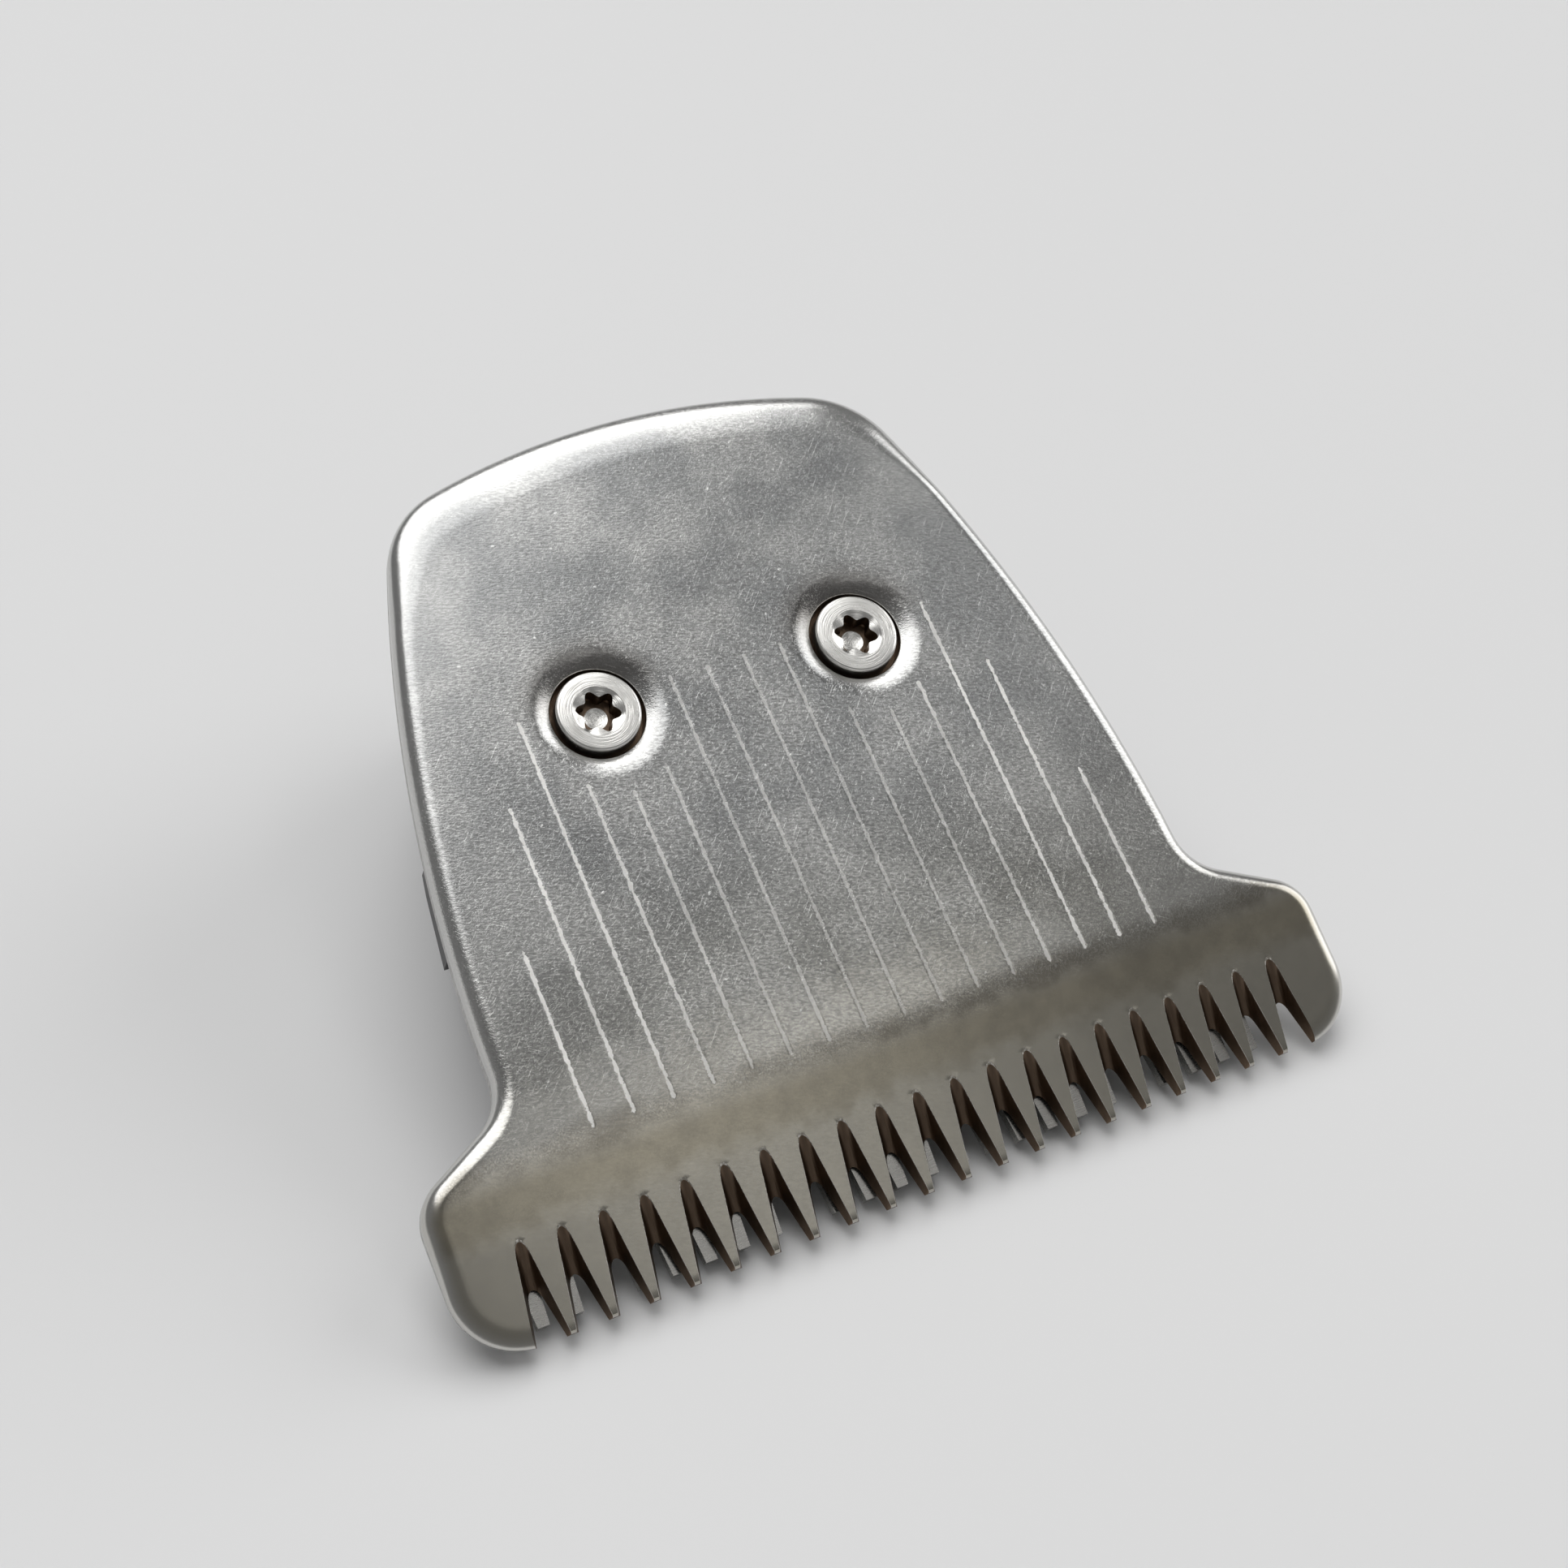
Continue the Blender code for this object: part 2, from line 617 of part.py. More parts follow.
def lobe_outline():
    """Six-lobed driver recess: a circle whose radius swells six times in a turn."""
    points = []
    for a in np.linspace(0, math.tau, 6 * LOBE_COUNT, endpoint=False):
        radius = LOBE_RADIUS * (1 - LOBE_SWELL + LOBE_SWELL * math.cos(LOBE_COUNT * a))
        points.append((radius * math.cos(a), radius * math.sin(a)))
    return points


def make_screw(side, x, parts, cutters, frame):
    """Pan-head screw in its dimple, with a six-lobed recess and a plain pointed shank."""
    seat = -DIMPLE_DEPTH + SCREW_GAP
    top = seat + SCREW_HEAD_HEIGHT
    tip = seat - SCREW_LENGTH
    edge = [(SCREW_HEAD_RADIUS - SCREW_EDGE_ROUND * (1 - math.sin(a)),
             top - SCREW_EDGE_ROUND * (1 - math.cos(a))) for a in np.linspace(0, math.pi / 2, 4)]
    profile = [(0, top), *edge, (SCREW_HEAD_RADIUS, seat), (SCREW_SHANK_RADIUS, seat),
               (SCREW_SHANK_RADIUS, tip + SCREW_SHANK_RADIUS), (SCREW_SHANK_RADIUS / 2, tip), (0, tip)]
    obj = add_object(f"blade_screw_{side}", turned(profile), parts, frame)
    obj.location = (x, SCREW_Y, 0)
    boolean(obj, "DIFFERENCE", extruded(lobe_outline(), top - LOBE_DEPTH, FAR), cutters, obj)
    return obj


def inset_at(z):
    """How far the drafted housing wall lies inside the blade's edge at height z."""
    return HOUSING_INSET + (HOUSING_TOP_Z - z) * math.tan(HOUSING_DRAFT)


def wedge(wall, upper_z):
    """Drafted block of the housing's outer shape, or of its inside when wall is not zero."""
    front_y = HOUSING_FRONT_Y + wall
    heights = (HOUSING_DEPTH_Z, upper_z)
    return lofted([at_height(body_outline(inset_at(z) + wall, front_y), z) for z in heights])


def make_head_frame(parts, cutters, frame):
    """Upper housing: rim round the blade set, side lugs, deck with screw bosses, and ribs for the pin."""
    obj = add_object("head_frame", wedge(0, HOUSING_TOP_Z), parts, frame)
    lug_outline = body_outline(LUG_INSET, HOUSING_FRONT_Y)
    lugs = boolean(obj, "UNION", extruded(lug_outline, LUG_FOOT_Z, LUG_TOP_Z), cutters, frame)
    boolean(lugs, "INTERSECT", box((-FAR, LUG_FRONT_Y, -FAR), (FAR, LUG_REAR_Y, FAR)), cutters, frame)
    boolean(obj, "DIFFERENCE", wedge(HOUSING_WALL, DECK_FOOT_Z), cutters, frame)
    well = CARRIER_HALF_WIDTH + STROKE_HALF + abs(CUTTER_PARK_X) + SEAT_GAP
    opening = box((-well, HOUSING_FRONT_Y + HOUSING_WALL, -FAR), (well, DECK_FRONT_Y, FAR))
    boolean(obj, "DIFFERENCE", opening, cutters, frame)
    recess = extruded(body_outline(HOUSING_INSET + HOUSING_RIM, TIP_Y), DECK_TOP_Z, FAR)
    boolean(obj, "DIFFERENCE", recess, cutters, frame)
    inside = DECK_TOP_Z - DECK_THICKNESS / 2
    for x, _ in SCREW_PLACES:
        boss = cylinder(BOSS_RADIUS, DECK_TOP_Z - BOSS_LENGTH, inside, (x, SCREW_Y))
        boolean(obj, "UNION", boss, cutters, frame)
    ribs = [box((x - RIB_THICKNESS / 2, COIL_Y - RIB_HALF_LENGTH, COIL_Z - 2 * PIN_RADIUS),
                (x + RIB_THICKNESS / 2, COIL_Y + RIB_HALF_LENGTH, inside)) for x in (-RIB_X, RIB_X)]
    boolean(obj, "UNION", joined(ribs), cutters, frame)
    bores = [cylinder(SCREW_SHANK_RADIUS + SEAT_GAP, -FAR, FAR, (x, SCREW_Y)) for x, _ in SCREW_PLACES]
    boolean(obj, "DIFFERENCE", joined(bores), cutters, frame)
    boolean(obj, "DIFFERENCE", notch_mesh(), cutters, frame)
    boolean(obj, "DIFFERENCE", box((-FAR, -FAR, -FAR), (FAR, FAR, SPLIT_Z)), cutters, None)
    return obj


def notch_mesh():
    """Round-topped channel along X that the spring pin is laid into from below."""
    radius = PIN_RADIUS + SEAT_GAP
    half = RIB_X + RIB_THICKNESS
    outline = arc((0, 0), radius, 0, math.pi, COARSE_STEP) + [(-radius, -FAR / 5), (radius, -FAR / 5)]
    mesh = extruded(outline, -half, half)
    lay = Matrix.Rotation(math.pi / 2, 4, "Z") @ Matrix.Rotation(math.pi / 2, 4, "X")
    mesh.transform(Matrix.Translation((0, COIL_Y, COIL_Z)) @ lay)
    return mesh


def make_coupling_base(parts, cutters, frame):
    """Lower tray: the flat coupling face, the drive window, hook slots, snap tongue and pin posts."""
    obj = add_object("coupling_base", wedge(0, HOUSING_TOP_Z), parts, frame)
    slab = box((-FAR, -FAR, 0), (FAR, FAR, SPLIT_Z - SEAT_GAP))
    boolean(obj, "INTERSECT", slab, cutters, None)
    pocket = boolean(obj, "DIFFERENCE", wedge(HOUSING_WALL, HOUSING_TOP_Z), cutters, frame)
    boolean(pocket, "DIFFERENCE", box((-FAR, -FAR, -FAR), (FAR, FAR, FLOOR_THICKNESS)), cutters, None)
    post_top = COIL_Z - PIN_RADIUS - SEAT_GAP
    posts = [box((x - RIB_THICKNESS / 2, COIL_Y - PIN_RADIUS, HOUSING_DEPTH_Z),
                 (x + RIB_THICKNESS / 2, COIL_Y + PIN_RADIUS, post_top)) for x in (-RIB_X, RIB_X)]
    post = boolean(obj, "UNION", joined(posts), cutters, frame)
    boolean(post, "DIFFERENCE", box((-FAR, -FAR, -FAR), (FAR, FAR, FLOOR_THICKNESS / 2)), cutters, None)
    tongue_end = rear_foot_y() - HOUSING_WALL - TONGUE_SETBACK
    catch = box((-TONGUE_HALF_WIDTH, tongue_end - CATCH_LENGTH, FLOOR_THICKNESS / 2),
                (TONGUE_HALF_WIDTH, tongue_end, FLOOR_THICKNESS + CATCH_HEIGHT))
    boolean(obj, "UNION", catch, cutters, None)
    boolean(obj, "DIFFERENCE", joined(floor_openings(tongue_end)), cutters, None)
    return obj


def floor_openings(tongue_end):
    """Drive window, two hook slots and the three slits round the snap tongue, through the floor."""
    def through(x_low, x_high, y_low, y_high):
        return box((x_low, y_low, -FAR), (x_high, y_high, FLOOR_THICKNESS + SEAT_GAP))

    slot_y = CARRIER_REAR_Y - FORK_REAR_STEP - DRIVE_SLOT_REAR_WALL - DRIVE_SLOT_LENGTH / 2
    window_y = to_ground_y(slot_y, FORK_FOOT_Z)
    hook_y = to_ground_y(HOUSING_FRONT_Y + HOUSING_WALL, FLOOR_THICKNESS) + HOOK_SLOT_SETBACK
    cuts = [
        through(-WINDOW_HALF_WIDTH, WINDOW_HALF_WIDTH, window_y - WINDOW_HALF_LENGTH,
                window_y + WINDOW_HALF_LENGTH),
        extruded(tongue_slit(tongue_end), -FAR, FLOOR_THICKNESS + SEAT_GAP),
    ]
    for x in (-HOOK_SLOT_X, HOOK_SLOT_X):
        cuts.append(through(x - HOOK_SLOT_LENGTH / 2, x + HOOK_SLOT_LENGTH / 2, hook_y,
                            hook_y + HOOK_SLOT_WIDTH))
    return cuts


def tongue_slit(tongue_end):
    """U-shaped slit that frees the snap tongue on three sides."""
    outer = TONGUE_HALF_WIDTH + TONGUE_SLIT
    root = tongue_end - TONGUE_LENGTH
    half = [(0, tongue_end), (TONGUE_HALF_WIDTH, tongue_end), (TONGUE_HALF_WIDTH, root),
            (outer, root), (outer, tongue_end + TONGUE_SLIT), (0, tongue_end + TONGUE_SLIT)]
    return mirrored(half)


def spring_path():
    """Centre line of the pressure spring: toe, leg, coil, tail across the rear, and the mirror image."""
    toe_z = CARRIER_FOOT_Z - SEAT_GAP - WIRE_RADIUS
    tail_z = DECK_FOOT_Z - SEAT_GAP - WIRE_RADIUS
    points = [(-SPRING_LEG_X, SPRING_TOE_Y, toe_z)]
    for i in range(COIL_TURNS * COIL_POINTS_PER_TURN + 1):
        turn = i / COIL_POINTS_PER_TURN
        a = turn * math.tau
        points.append((-SPRING_LEG_X + turn * COIL_PITCH, COIL_Y + COIL_RADIUS * math.sin(a),
                       COIL_Z + COIL_RADIUS * math.cos(a)))
    inner_x = -SPRING_LEG_X + COIL_TURNS * COIL_PITCH
    centre = (inner_x + SPRING_TAIL_BEND, SPRING_TAIL_Y - SPRING_TAIL_BEND)
    points += [(x, y, tail_z) for x, y in arc(centre, SPRING_TAIL_BEND, math.pi, math.pi / 2, COARSE_STEP)]
    return points + [(-x, y, z) for x, y, z in reversed(points)]


def least_gap(points):
    """Smallest clear distance between turns of the wire, measured on its centre line."""
    line = np.array(points)
    steps = np.linalg.norm(np.diff(line, axis=0), axis=1)
    place = np.concatenate([[0], np.cumsum(steps)])
    apart = np.linalg.norm(line[:, None] - line[None], axis=2)
    far_along = np.abs(place[:, None] - place[None]) > math.pi * COIL_RADIUS
    return apart[far_along].min() - 2 * WIRE_RADIUS


def make_spring(parts, frame):
    points = spring_path()
    print(f"pressure_spring: least gap between turns {least_gap(points) * 1000:.2f} mm")
    curve = bpy.data.curves.new("pressure_spring", "CURVE")
    curve.dimensions = "3D"
    curve.bevel_depth = WIRE_RADIUS
    curve.bevel_resolution = 1
    curve.use_fill_caps = True
    spline = curve.splines.new("POLY")
    spline.points.add(len(points) - 1)
    for point, place in zip(spline.points, points):
        point.co = (*place, 1)
    mesh = mesh_of(add_object("wire", curve, bpy.context.scene.collection, None))
    return add_object("pressure_spring", mesh, parts, frame)


def make_spring_pin(parts, frame):
    mesh = cylinder(PIN_RADIUS, -PIN_HALF_LENGTH, PIN_HALF_LENGTH)
    mesh.transform(Matrix.Translation((0, COIL_Y, COIL_Z)) @ Matrix.Rotation(math.pi / 2, 4, "Y"))
    return add_object("spring_pin", mesh, parts, frame)


# Posture

def lift():
    """Height of the blade frame's origin that leaves both sets of tooth tips just off the ground."""
    tips = ((TIP_Y, BLADE_FOOT_Z), (CUTTER_TIP_Y, CUTTER_FOOT_Z))
    lowest = min(y * math.sin(REST_TILT) + z * math.cos(REST_TILT) for y, z in tips)
    return TIP_CLEARANCE - lowest


def tilted_y(y, ground_z):
    """Ground-plane Y, before centring, of the point with blade-frame y at height ground_z."""
    z = (ground_z - lift() - y * math.sin(REST_TILT)) / math.cos(REST_TILT)
    return y * math.cos(REST_TILT) - z * math.sin(REST_TILT)


def rear_wall_y():
    """Blade-frame y of the rear wall's outer foot, where the drafted wall meets the ground plane."""
    draft = math.tan(HOUSING_DRAFT)
    top_y = REAR_Y - HOUSING_INSET
    ground = math.tan(REST_TILT)
    drop = (lift() / math.cos(REST_TILT) + top_y * ground + HOUSING_TOP_Z) / (1 + draft * ground)
    return top_y - drop * draft


def middle_y():
    """Ground-plane Y, before centring, midway between the tooth tips and the rear foot."""
    tip_z = face_drop(TIP_Y)
    front = TIP_Y * math.cos(REST_TILT) - tip_z * math.sin(REST_TILT)
    return (front + tilted_y(rear_wall_y(), 0)) / 2


def to_ground_y(y, ground_z):
    return tilted_y(y, ground_z) - middle_y()


def rear_foot_y():
    return to_ground_y(rear_wall_y(), 0)


def add_frame(name, location, tilt, collection, parent=None):
    empty = bpy.data.objects.new(name, None)
    collection.objects.link(empty)
    empty.location = location
    empty.rotation_euler = (tilt, 0, 0)
    empty.parent = parent
    return empty


def main():
    clear_scene()
    parts = new_collection("trimmer_head")
    cutters = new_collection("cutters")
    steel = material("satin_steel", (0.56, 0.55, 0.53), 0.38, 1.0)
    bright = material("ground_steel", (0.68, 0.67, 0.65), 0.22, 1.0)
    screw_steel = material("screw_steel", (0.62, 0.60, 0.57), 0.30, 1.0)
    wire = material("spring_steel", (0.45, 0.45, 0.46), 0.30, 1.0)
    acetal = material("ivory_acetal", (0.82, 0.80, 0.74), 0.40, 0.0)
    grey = material("grey_acetal", (0.16, 0.16, 0.17), 0.45, 0.0)
    black = material("black_plastic", (0.018, 0.018, 0.019), 0.42, 0.0)
    frame = add_frame("blade_frame", (0, -middle_y(), lift()), REST_TILT, parts)
    slide = add_frame("cutter_slide", (CUTTER_PARK_X, 0, 0), 0, parts, frame)
    as_part(make_guard_blade(parts, cutters, frame), steel)
    as_part(make_cutter_blade(parts, cutters, slide), bright)
    as_part(make_carrier(parts, cutters, slide), acetal)
    as_part(make_guide(parts, cutters, frame), grey)
    as_part(make_head_frame(parts, cutters, frame), black)
    as_part(make_coupling_base(parts, cutters, frame), black)
    as_part(make_spring(parts, frame), wire)
    as_part(make_spring_pin(parts, frame), wire)
    for x, side in SCREW_PLACES:
        as_part(make_screw(side, x, parts, cutters, frame), screw_steel)
        as_part(make_rivet(side, math.copysign(RIVET_X, x), parts, slide), bright)
    bpy.context.view_layer.update()


main()
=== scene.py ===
"""Finished look of a detachable wide T-blade trimmer head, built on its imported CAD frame.

The comb plate, screws, spring and turned pieces are new surfaces worked out with numpy in the
blade's own frame: X along the teeth, Y from the teeth to the rear edge, Z out of the top face,
in millimetres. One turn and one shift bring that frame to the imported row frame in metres. The
other pieces are merged copies of their CAD shapes with rounded edges.
"""

import math

import bmesh
import bpy
import numpy as np
from mathutils import Matrix, Vector
from mathutils.geometry import delaunay_2d_cdt


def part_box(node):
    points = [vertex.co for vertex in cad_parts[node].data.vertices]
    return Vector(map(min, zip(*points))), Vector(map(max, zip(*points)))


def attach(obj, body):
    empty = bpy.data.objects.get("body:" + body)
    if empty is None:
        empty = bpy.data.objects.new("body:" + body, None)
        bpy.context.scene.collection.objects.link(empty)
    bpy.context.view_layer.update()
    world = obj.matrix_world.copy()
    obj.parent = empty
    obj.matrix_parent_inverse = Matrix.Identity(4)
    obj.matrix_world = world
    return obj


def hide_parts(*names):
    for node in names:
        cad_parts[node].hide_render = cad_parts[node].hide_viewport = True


MM = 0.001

# Blade frame in the row frame
REST_TILT = math.radians(25.0)

# Comb plate: plan
PITCH = 1.73
SLOT_COUNT = 21
EAR_SIDE_X = 20.55
EAR_CORNER_Y = -6.25
EAR_ROUND = 2.8
TIP_Y = -6.9
NECK_X = 16.0
SHOULDER_Y = 2.16
SHOULDER_DROP = math.tan(math.radians(29.0))
NECK_FILLET = 2.3
SHOULDER_ROUND = 2.1
REAR_Y = 29.9
CROWN_RADIUS = 32.9
SIDE_RADIUS = 72.0
SIDE_WIDEST_Y = 2.1
REAR_CORNER_RADIUS = 4.5
OUTLINE_STEP = 0.24

# Comb plate: section
THICKNESS = 1.3
STRIP_SLOPE = 0.12
TOOTH_SLOPE = 0.15
FACET_Y = -2.95
BEND_SOFT = 0.25
FACET_SOFT = 0.12
REAR_RIM = 2.17
SIDE_RIM = 0.8
RIM_BLEND = 8.0
RIM_DEPTH = 0.9
RIM_RINGS = 12
RIM_MARGIN = 0.16
FOOT_ROUND = 0.06
TIP_ROLL = 0.16
ROLL_STATIONS = (0.6, 0.3, 0.1, 0.0)

# Comb plate: extra rows of points along the bend, and along the facet line, counted from it
BEND_ROWS = np.concatenate([np.linspace(-1.0, 0.8, 13), [1.6, 3.2]])
FACET_ROWS = np.array([-0.3, -0.15, 0.0, 0.15, 0.3, 0.5, 0.8, 1.2])
ROW_SPAN = (-20.2, 20.3)
BEND_SPACING = 0.5
FACET_SPACING = 0.25
EDGE_CLEARANCE = 0.12
LINE_CLEARANCE = 0.1

# Comb plate: ground slots
EAR_SLOT_X = (SLOT_COUNT - 1) / 2 * PITCH
SLOT_START_Y = -2.97
SLOT_EXIT_Y = -4.78
SLOT_ROOT = 0.32
SLOT_WALL = math.radians(23.1)
SLOT_ROWS = 15
SLOT_COLUMNS = 9
EDGE_WIDEN = 0.025
EDGE_DROP = 0.015

# Comb plate: engraved lines, from the middle outwards, as the Y where each one ends
LINE_ENDS = (17.30, 17.30, 13.56, 12.85, 13.75, 17.25, 13.75, 7.77)
LINE_WIDTH = 0.28
LINE_DEPTH = 0.012
LINE_STEP = 0.3
LINE_TRACE = 0.01
# Depth below the top face over which the painted sheen on the rim and dimple lips rises to full
SHEEN_DEPTH = 0.15

# Screws in their dimples
SCREW_X = 6.1
SCREW_Y = 16.6
SCREW_HEAD = 1.83
SCREW_HEAD_HEIGHT = 1.15
SCREW_SEAT = -1.1
SCREW_EDGE = 0.16
SCREW_SHANK = 1.2
SCREW_LENGTH = 6.2
RECESS_CHAMFER = 1.13
RECESS_RADIUS = 0.98
RECESS_SWELL = 0.15
RECESS_DEPTH = 0.86
RECESS_POINT = 0.5
RECESS_CONE = 0.16
RECESS_FLOOR_SHARE = 0.94
RECESS_FOOT = 0.06
RECESS_BEVEL = 0.12
CHAMFER_LAND = 0.04
HEAD_EDGE_STEPS = 5
LOBES = 6
SCREW_TURN = {"left": math.radians(38.0), "right": math.radians(35.0)}
DIMPLE_RADIUS = 2.05
DIMPLE_LIP_WIDTH = 1.0
LIP_ROUND = 1.6
LIP_SLOPE = math.radians(23.0)
LIP_EDGE = 0.08
LIP_STEPS = 8
LIP_EDGE_STEPS = 7
DIMPLE_DEPTH = 1.2
DIMPLE_CUP = 2.75
DIMPLE_FOOT = -2.0
SHANK_HOLE = 1.5
ROUND_SIDES = 96
AROUND = np.arange(ROUND_SIDES) / ROUND_SIDES * math.tau

# Carrier rivets, spring and pin
CUTTER_PARK_X = -0.29
RIVET_X = 7.2
RIVET_Y = 6.4
RIVET_RADIUS = 0.7
RIVET_HEAD = 1.3
RIVET_TOP = -1.6
RIVET_SEAT = -3.8
RIVET_FOOT = -4.2
DOME_STEPS = 8
WIRE_RADIUS = 0.3
WIRE_SIDES = 16
ALONG_X_LIMIT = 0.3
COIL_RADIUS = 1.8
COIL_TURNS = 3
COIL_PITCH = 1.05
COIL_STEPS = 40
COIL_Y = 22.0
COIL_Z = -6.3
SPRING_LEG_X = 9.2
SPRING_TOE = (8.6, -4.3)
SPRING_TAIL = (26.2, -4.1)
SPRING_TAIL_BEND = 1.2
SPRING_TAIL_STEP = 0.15
PIN_RADIUS = 1.1
PIN_HALF_LENGTH = 9.4
PIN_CHAMFER = 0.15

# Shading of joined surfaces
SHARP_ANGLE = math.radians(14.0)
EDGE_ANGLE = math.radians(40.0)
FLAT_ANGLE = math.radians(0.6)
WELD = 2e-7
CAD_WELD = 1e-6
PLAN_WELD = 1e-6
BEVEL_SEGMENTS = 2

# Colours of the comb plate's face, from the rear edge to the teeth, of the marks on it, and of the painted
# sheen and shade on it
REAR_DARK = (0.325, 0.33, 0.33)
REAR_LIGHT = (0.49, 0.49, 0.48)
LOWER_DARK = (0.31, 0.305, 0.28)
LOWER_LIGHT = (0.475, 0.47, 0.445)
# Painted sheen by the bend, strongest on the left
BEND_PAINTED_SHEEN = (0.60, 0.58, 0.525)
SIDE_PALE = (0.58, 0.58, 0.57)
STRIP_DARK = (0.315, 0.288, 0.228)
STRIP_LIGHT = (0.41, 0.376, 0.298)
STRIP_PATCH = (0.20, 0.185, 0.155)
# Tooth facet paler: worn ground steel, with a painted sheen where the facet meets the light
FACET_WORN_SHEEN = (0.44, 0.425, 0.38)
BEND_GRIME = (0.15, 0.13, 0.095)
PIT_DARK = (0.14, 0.14, 0.135)
MARK_LIGHT = (0.82, 0.82, 0.80)
# Painted shade on the dimple lip behind each screw
SCREW_PAINTED_SHADE = (0.10, 0.085, 0.07)
# Painted sheen on the rounded rim and the dimple lips
RIM_PAINTED_SHEEN = (0.68, 0.675, 0.66)
BURR_LIGHT = (0.84, 0.83, 0.80)

# Levels of stretched noise between which a stroke fades in
STROKE_PEAK = (0.72, 0.80)

# Camera, fitted to the photograph in the blade frame, in millimetres
CAMERA_PLACE = (-36.078, -18.768, 93.158)
CAMERA_RIGHT = (0.892803, -0.392297, 0.221372)
CAMERA_DOWN = (-0.287067, -0.874248, -0.391514)
CAMERA_AHEAD = (0.347124, 0.285997, -0.893147)
CAMERA_FOCAL_PX = 3058.8
PHOTO_PX = 1932
SENSOR = 36.0
CLIP_START = 0.005
CLIP_END = 100.0

# Stage, in metres; the lamps stand LAMP_REACH times as far off as they are written
LAMP_REACH = 6.0
FLOOR_REACH = 30.0
FLOOR_DROP = 5e-5
FLOOR_COLOUR = (0.78, 0.78, 0.78)
FLOOR_ROUGHNESS = 0.6
HORIZON_HEIGHT = 0.06
HORIZON_LEVEL = 0.68
SKY_HEIGHT = 0.2
SKY_LEVEL = 0.2

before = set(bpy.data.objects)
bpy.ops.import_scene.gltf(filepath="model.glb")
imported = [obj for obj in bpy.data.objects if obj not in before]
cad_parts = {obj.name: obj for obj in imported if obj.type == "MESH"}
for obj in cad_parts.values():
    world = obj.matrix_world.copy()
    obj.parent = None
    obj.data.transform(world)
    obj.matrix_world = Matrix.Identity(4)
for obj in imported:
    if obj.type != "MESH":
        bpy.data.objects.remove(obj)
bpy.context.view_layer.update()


# Blade frame and plan curves

def blade_matrix():
    """Turn and shift from the blade frame to the row frame, found from the comb plate's front foot."""
    low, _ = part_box("guard_blade")
    tip_z = STRIP_SLOPE * TIP_Y + (TOOTH_SLOPE - STRIP_SLOPE) * (TIP_Y - FACET_Y)
    front = TIP_Y * math.cos(REST_TILT) - tip_z * math.sin(REST_TILT)
    foot = TIP_Y * math.sin(REST_TILT) - THICKNESS * math.cos(REST_TILT)
    shift = Matrix.Translation((0, low[1] - front * MM, low[2] - foot * MM))
    return shift @ Matrix.Rotation(REST_TILT, 4, "X") @ Matrix.Scale(MM, 4)


BLADE = blade_matrix()


def arc(centre, radius, start, end, step=OUTLINE_STEP):
    """Points of a circle from angle start to angle end, about step apart, both ends included."""
    count = max(3, int(abs(end - start) * radius / step) + 2)
    angle = np.linspace(start, end, count)
    return np.stack([centre[0] + radius * np.cos(angle), centre[1] + radius * np.sin(angle)], 1)


def unit(vectors):
    """Vectors brought to length 1."""
    return vectors / np.linalg.norm(vectors, axis=-1, keepdims=True)


def fillet(before, corner, after, radius):
    """Arc of a radius that rounds the corner between two straight runs of a path."""
    back = unit(np.subtract(before, corner))
    ahead = unit(np.subtract(after, corner))
    half = math.acos(np.clip(back @ ahead, -1, 1)) / 2
    middle = unit(back + ahead)
    centre = np.add(corner, middle * radius / math.sin(half))
    first = corner + back * radius / math.tan(half) - centre
    last = corner + ahead * radius / math.tan(half) - centre
    start = math.atan2(first[1], first[0])
    turn = math.remainder(math.atan2(last[1], last[0]) - start, math.tau)
    return arc(centre, radius, start, start + turn)


def straight(start, end):
    """Points of a straight run, about one outline step apart, without its two ends."""
    count = max(2, int(math.dist(start, end) / OUTLINE_STEP))
    share = np.linspace(0, 1, count + 1)[1:-1, None]
    return np.asarray(start) * (1 - share) + np.asarray(end) * share


def plate_outline():
    """Outer edge of the comb plate, anticlockwise from the right ear's tip to the left one's.

    Rear and sides are circles, and the rear corner is a circle that touches both from inside. The
    neck, shoulder and ear are straight runs joined by fillets.
    """
    crown = np.array([0.0, REAR_Y - CROWN_RADIUS])
    side = np.array([NECK_X - SIDE_RADIUS, SIDE_WIDEST_Y])
    from_crown = CROWN_RADIUS - REAR_CORNER_RADIUS
    from_side = SIDE_RADIUS - REAR_CORNER_RADIUS
    apart = side - crown
    length = np.linalg.norm(apart)
    along = (from_crown**2 - from_side**2 + length**2) / (2 * length)
    across = math.sqrt(from_crown**2 - along**2)
    ahead = apart / length
    corner = crown + ahead * along + np.array([ahead[1], -ahead[0]]) * across
    crown_end = math.atan2(*(corner - crown)[::-1])
    side_start = math.atan2(*(corner - side)[::-1])
    bow = arc(side, SIDE_RADIUS, 0, side_start)
    bow = bow[bow[:, 1] > SHOULDER_Y + NECK_FILLET]
    tip = (EAR_SLOT_X + slot_edge_x(np.array([TIP_Y]), 0)[0], TIP_Y)
    ear = (EAR_SIDE_X, EAR_CORNER_Y)
    shoulder = (EAR_SIDE_X, SHOULDER_Y - (EAR_SIDE_X - NECK_X) * SHOULDER_DROP)
    neck = (NECK_X, SHOULDER_Y)
    ear_arc = fillet(tip, ear, shoulder, EAR_ROUND)
    shoulder_arc = fillet(ear, shoulder, neck, SHOULDER_ROUND)
    neck_arc = fillet(shoulder, neck, tuple(bow[0]), NECK_FILLET)
    half = np.concatenate([
        [tip], straight(tip, ear_arc[0]), ear_arc, straight(ear_arc[-1], shoulder_arc[0]), shoulder_arc,
        straight(shoulder_arc[-1], neck_arc[0]), neck_arc, bow,
        arc(corner, REAR_CORNER_RADIUS, side_start, crown_end)[1:],
        arc(crown, CROWN_RADIUS, crown_end, math.pi / 2)[1:],
    ])
    return np.concatenate([half, half[-2::-1] * (-1, 1)])


# Heights of the comb plate

def soft_below(y, softness):
    """y where it is negative and 0 where it is positive, with a rounded change between them."""
    return -softness * np.logaddexp(0, -y / softness)


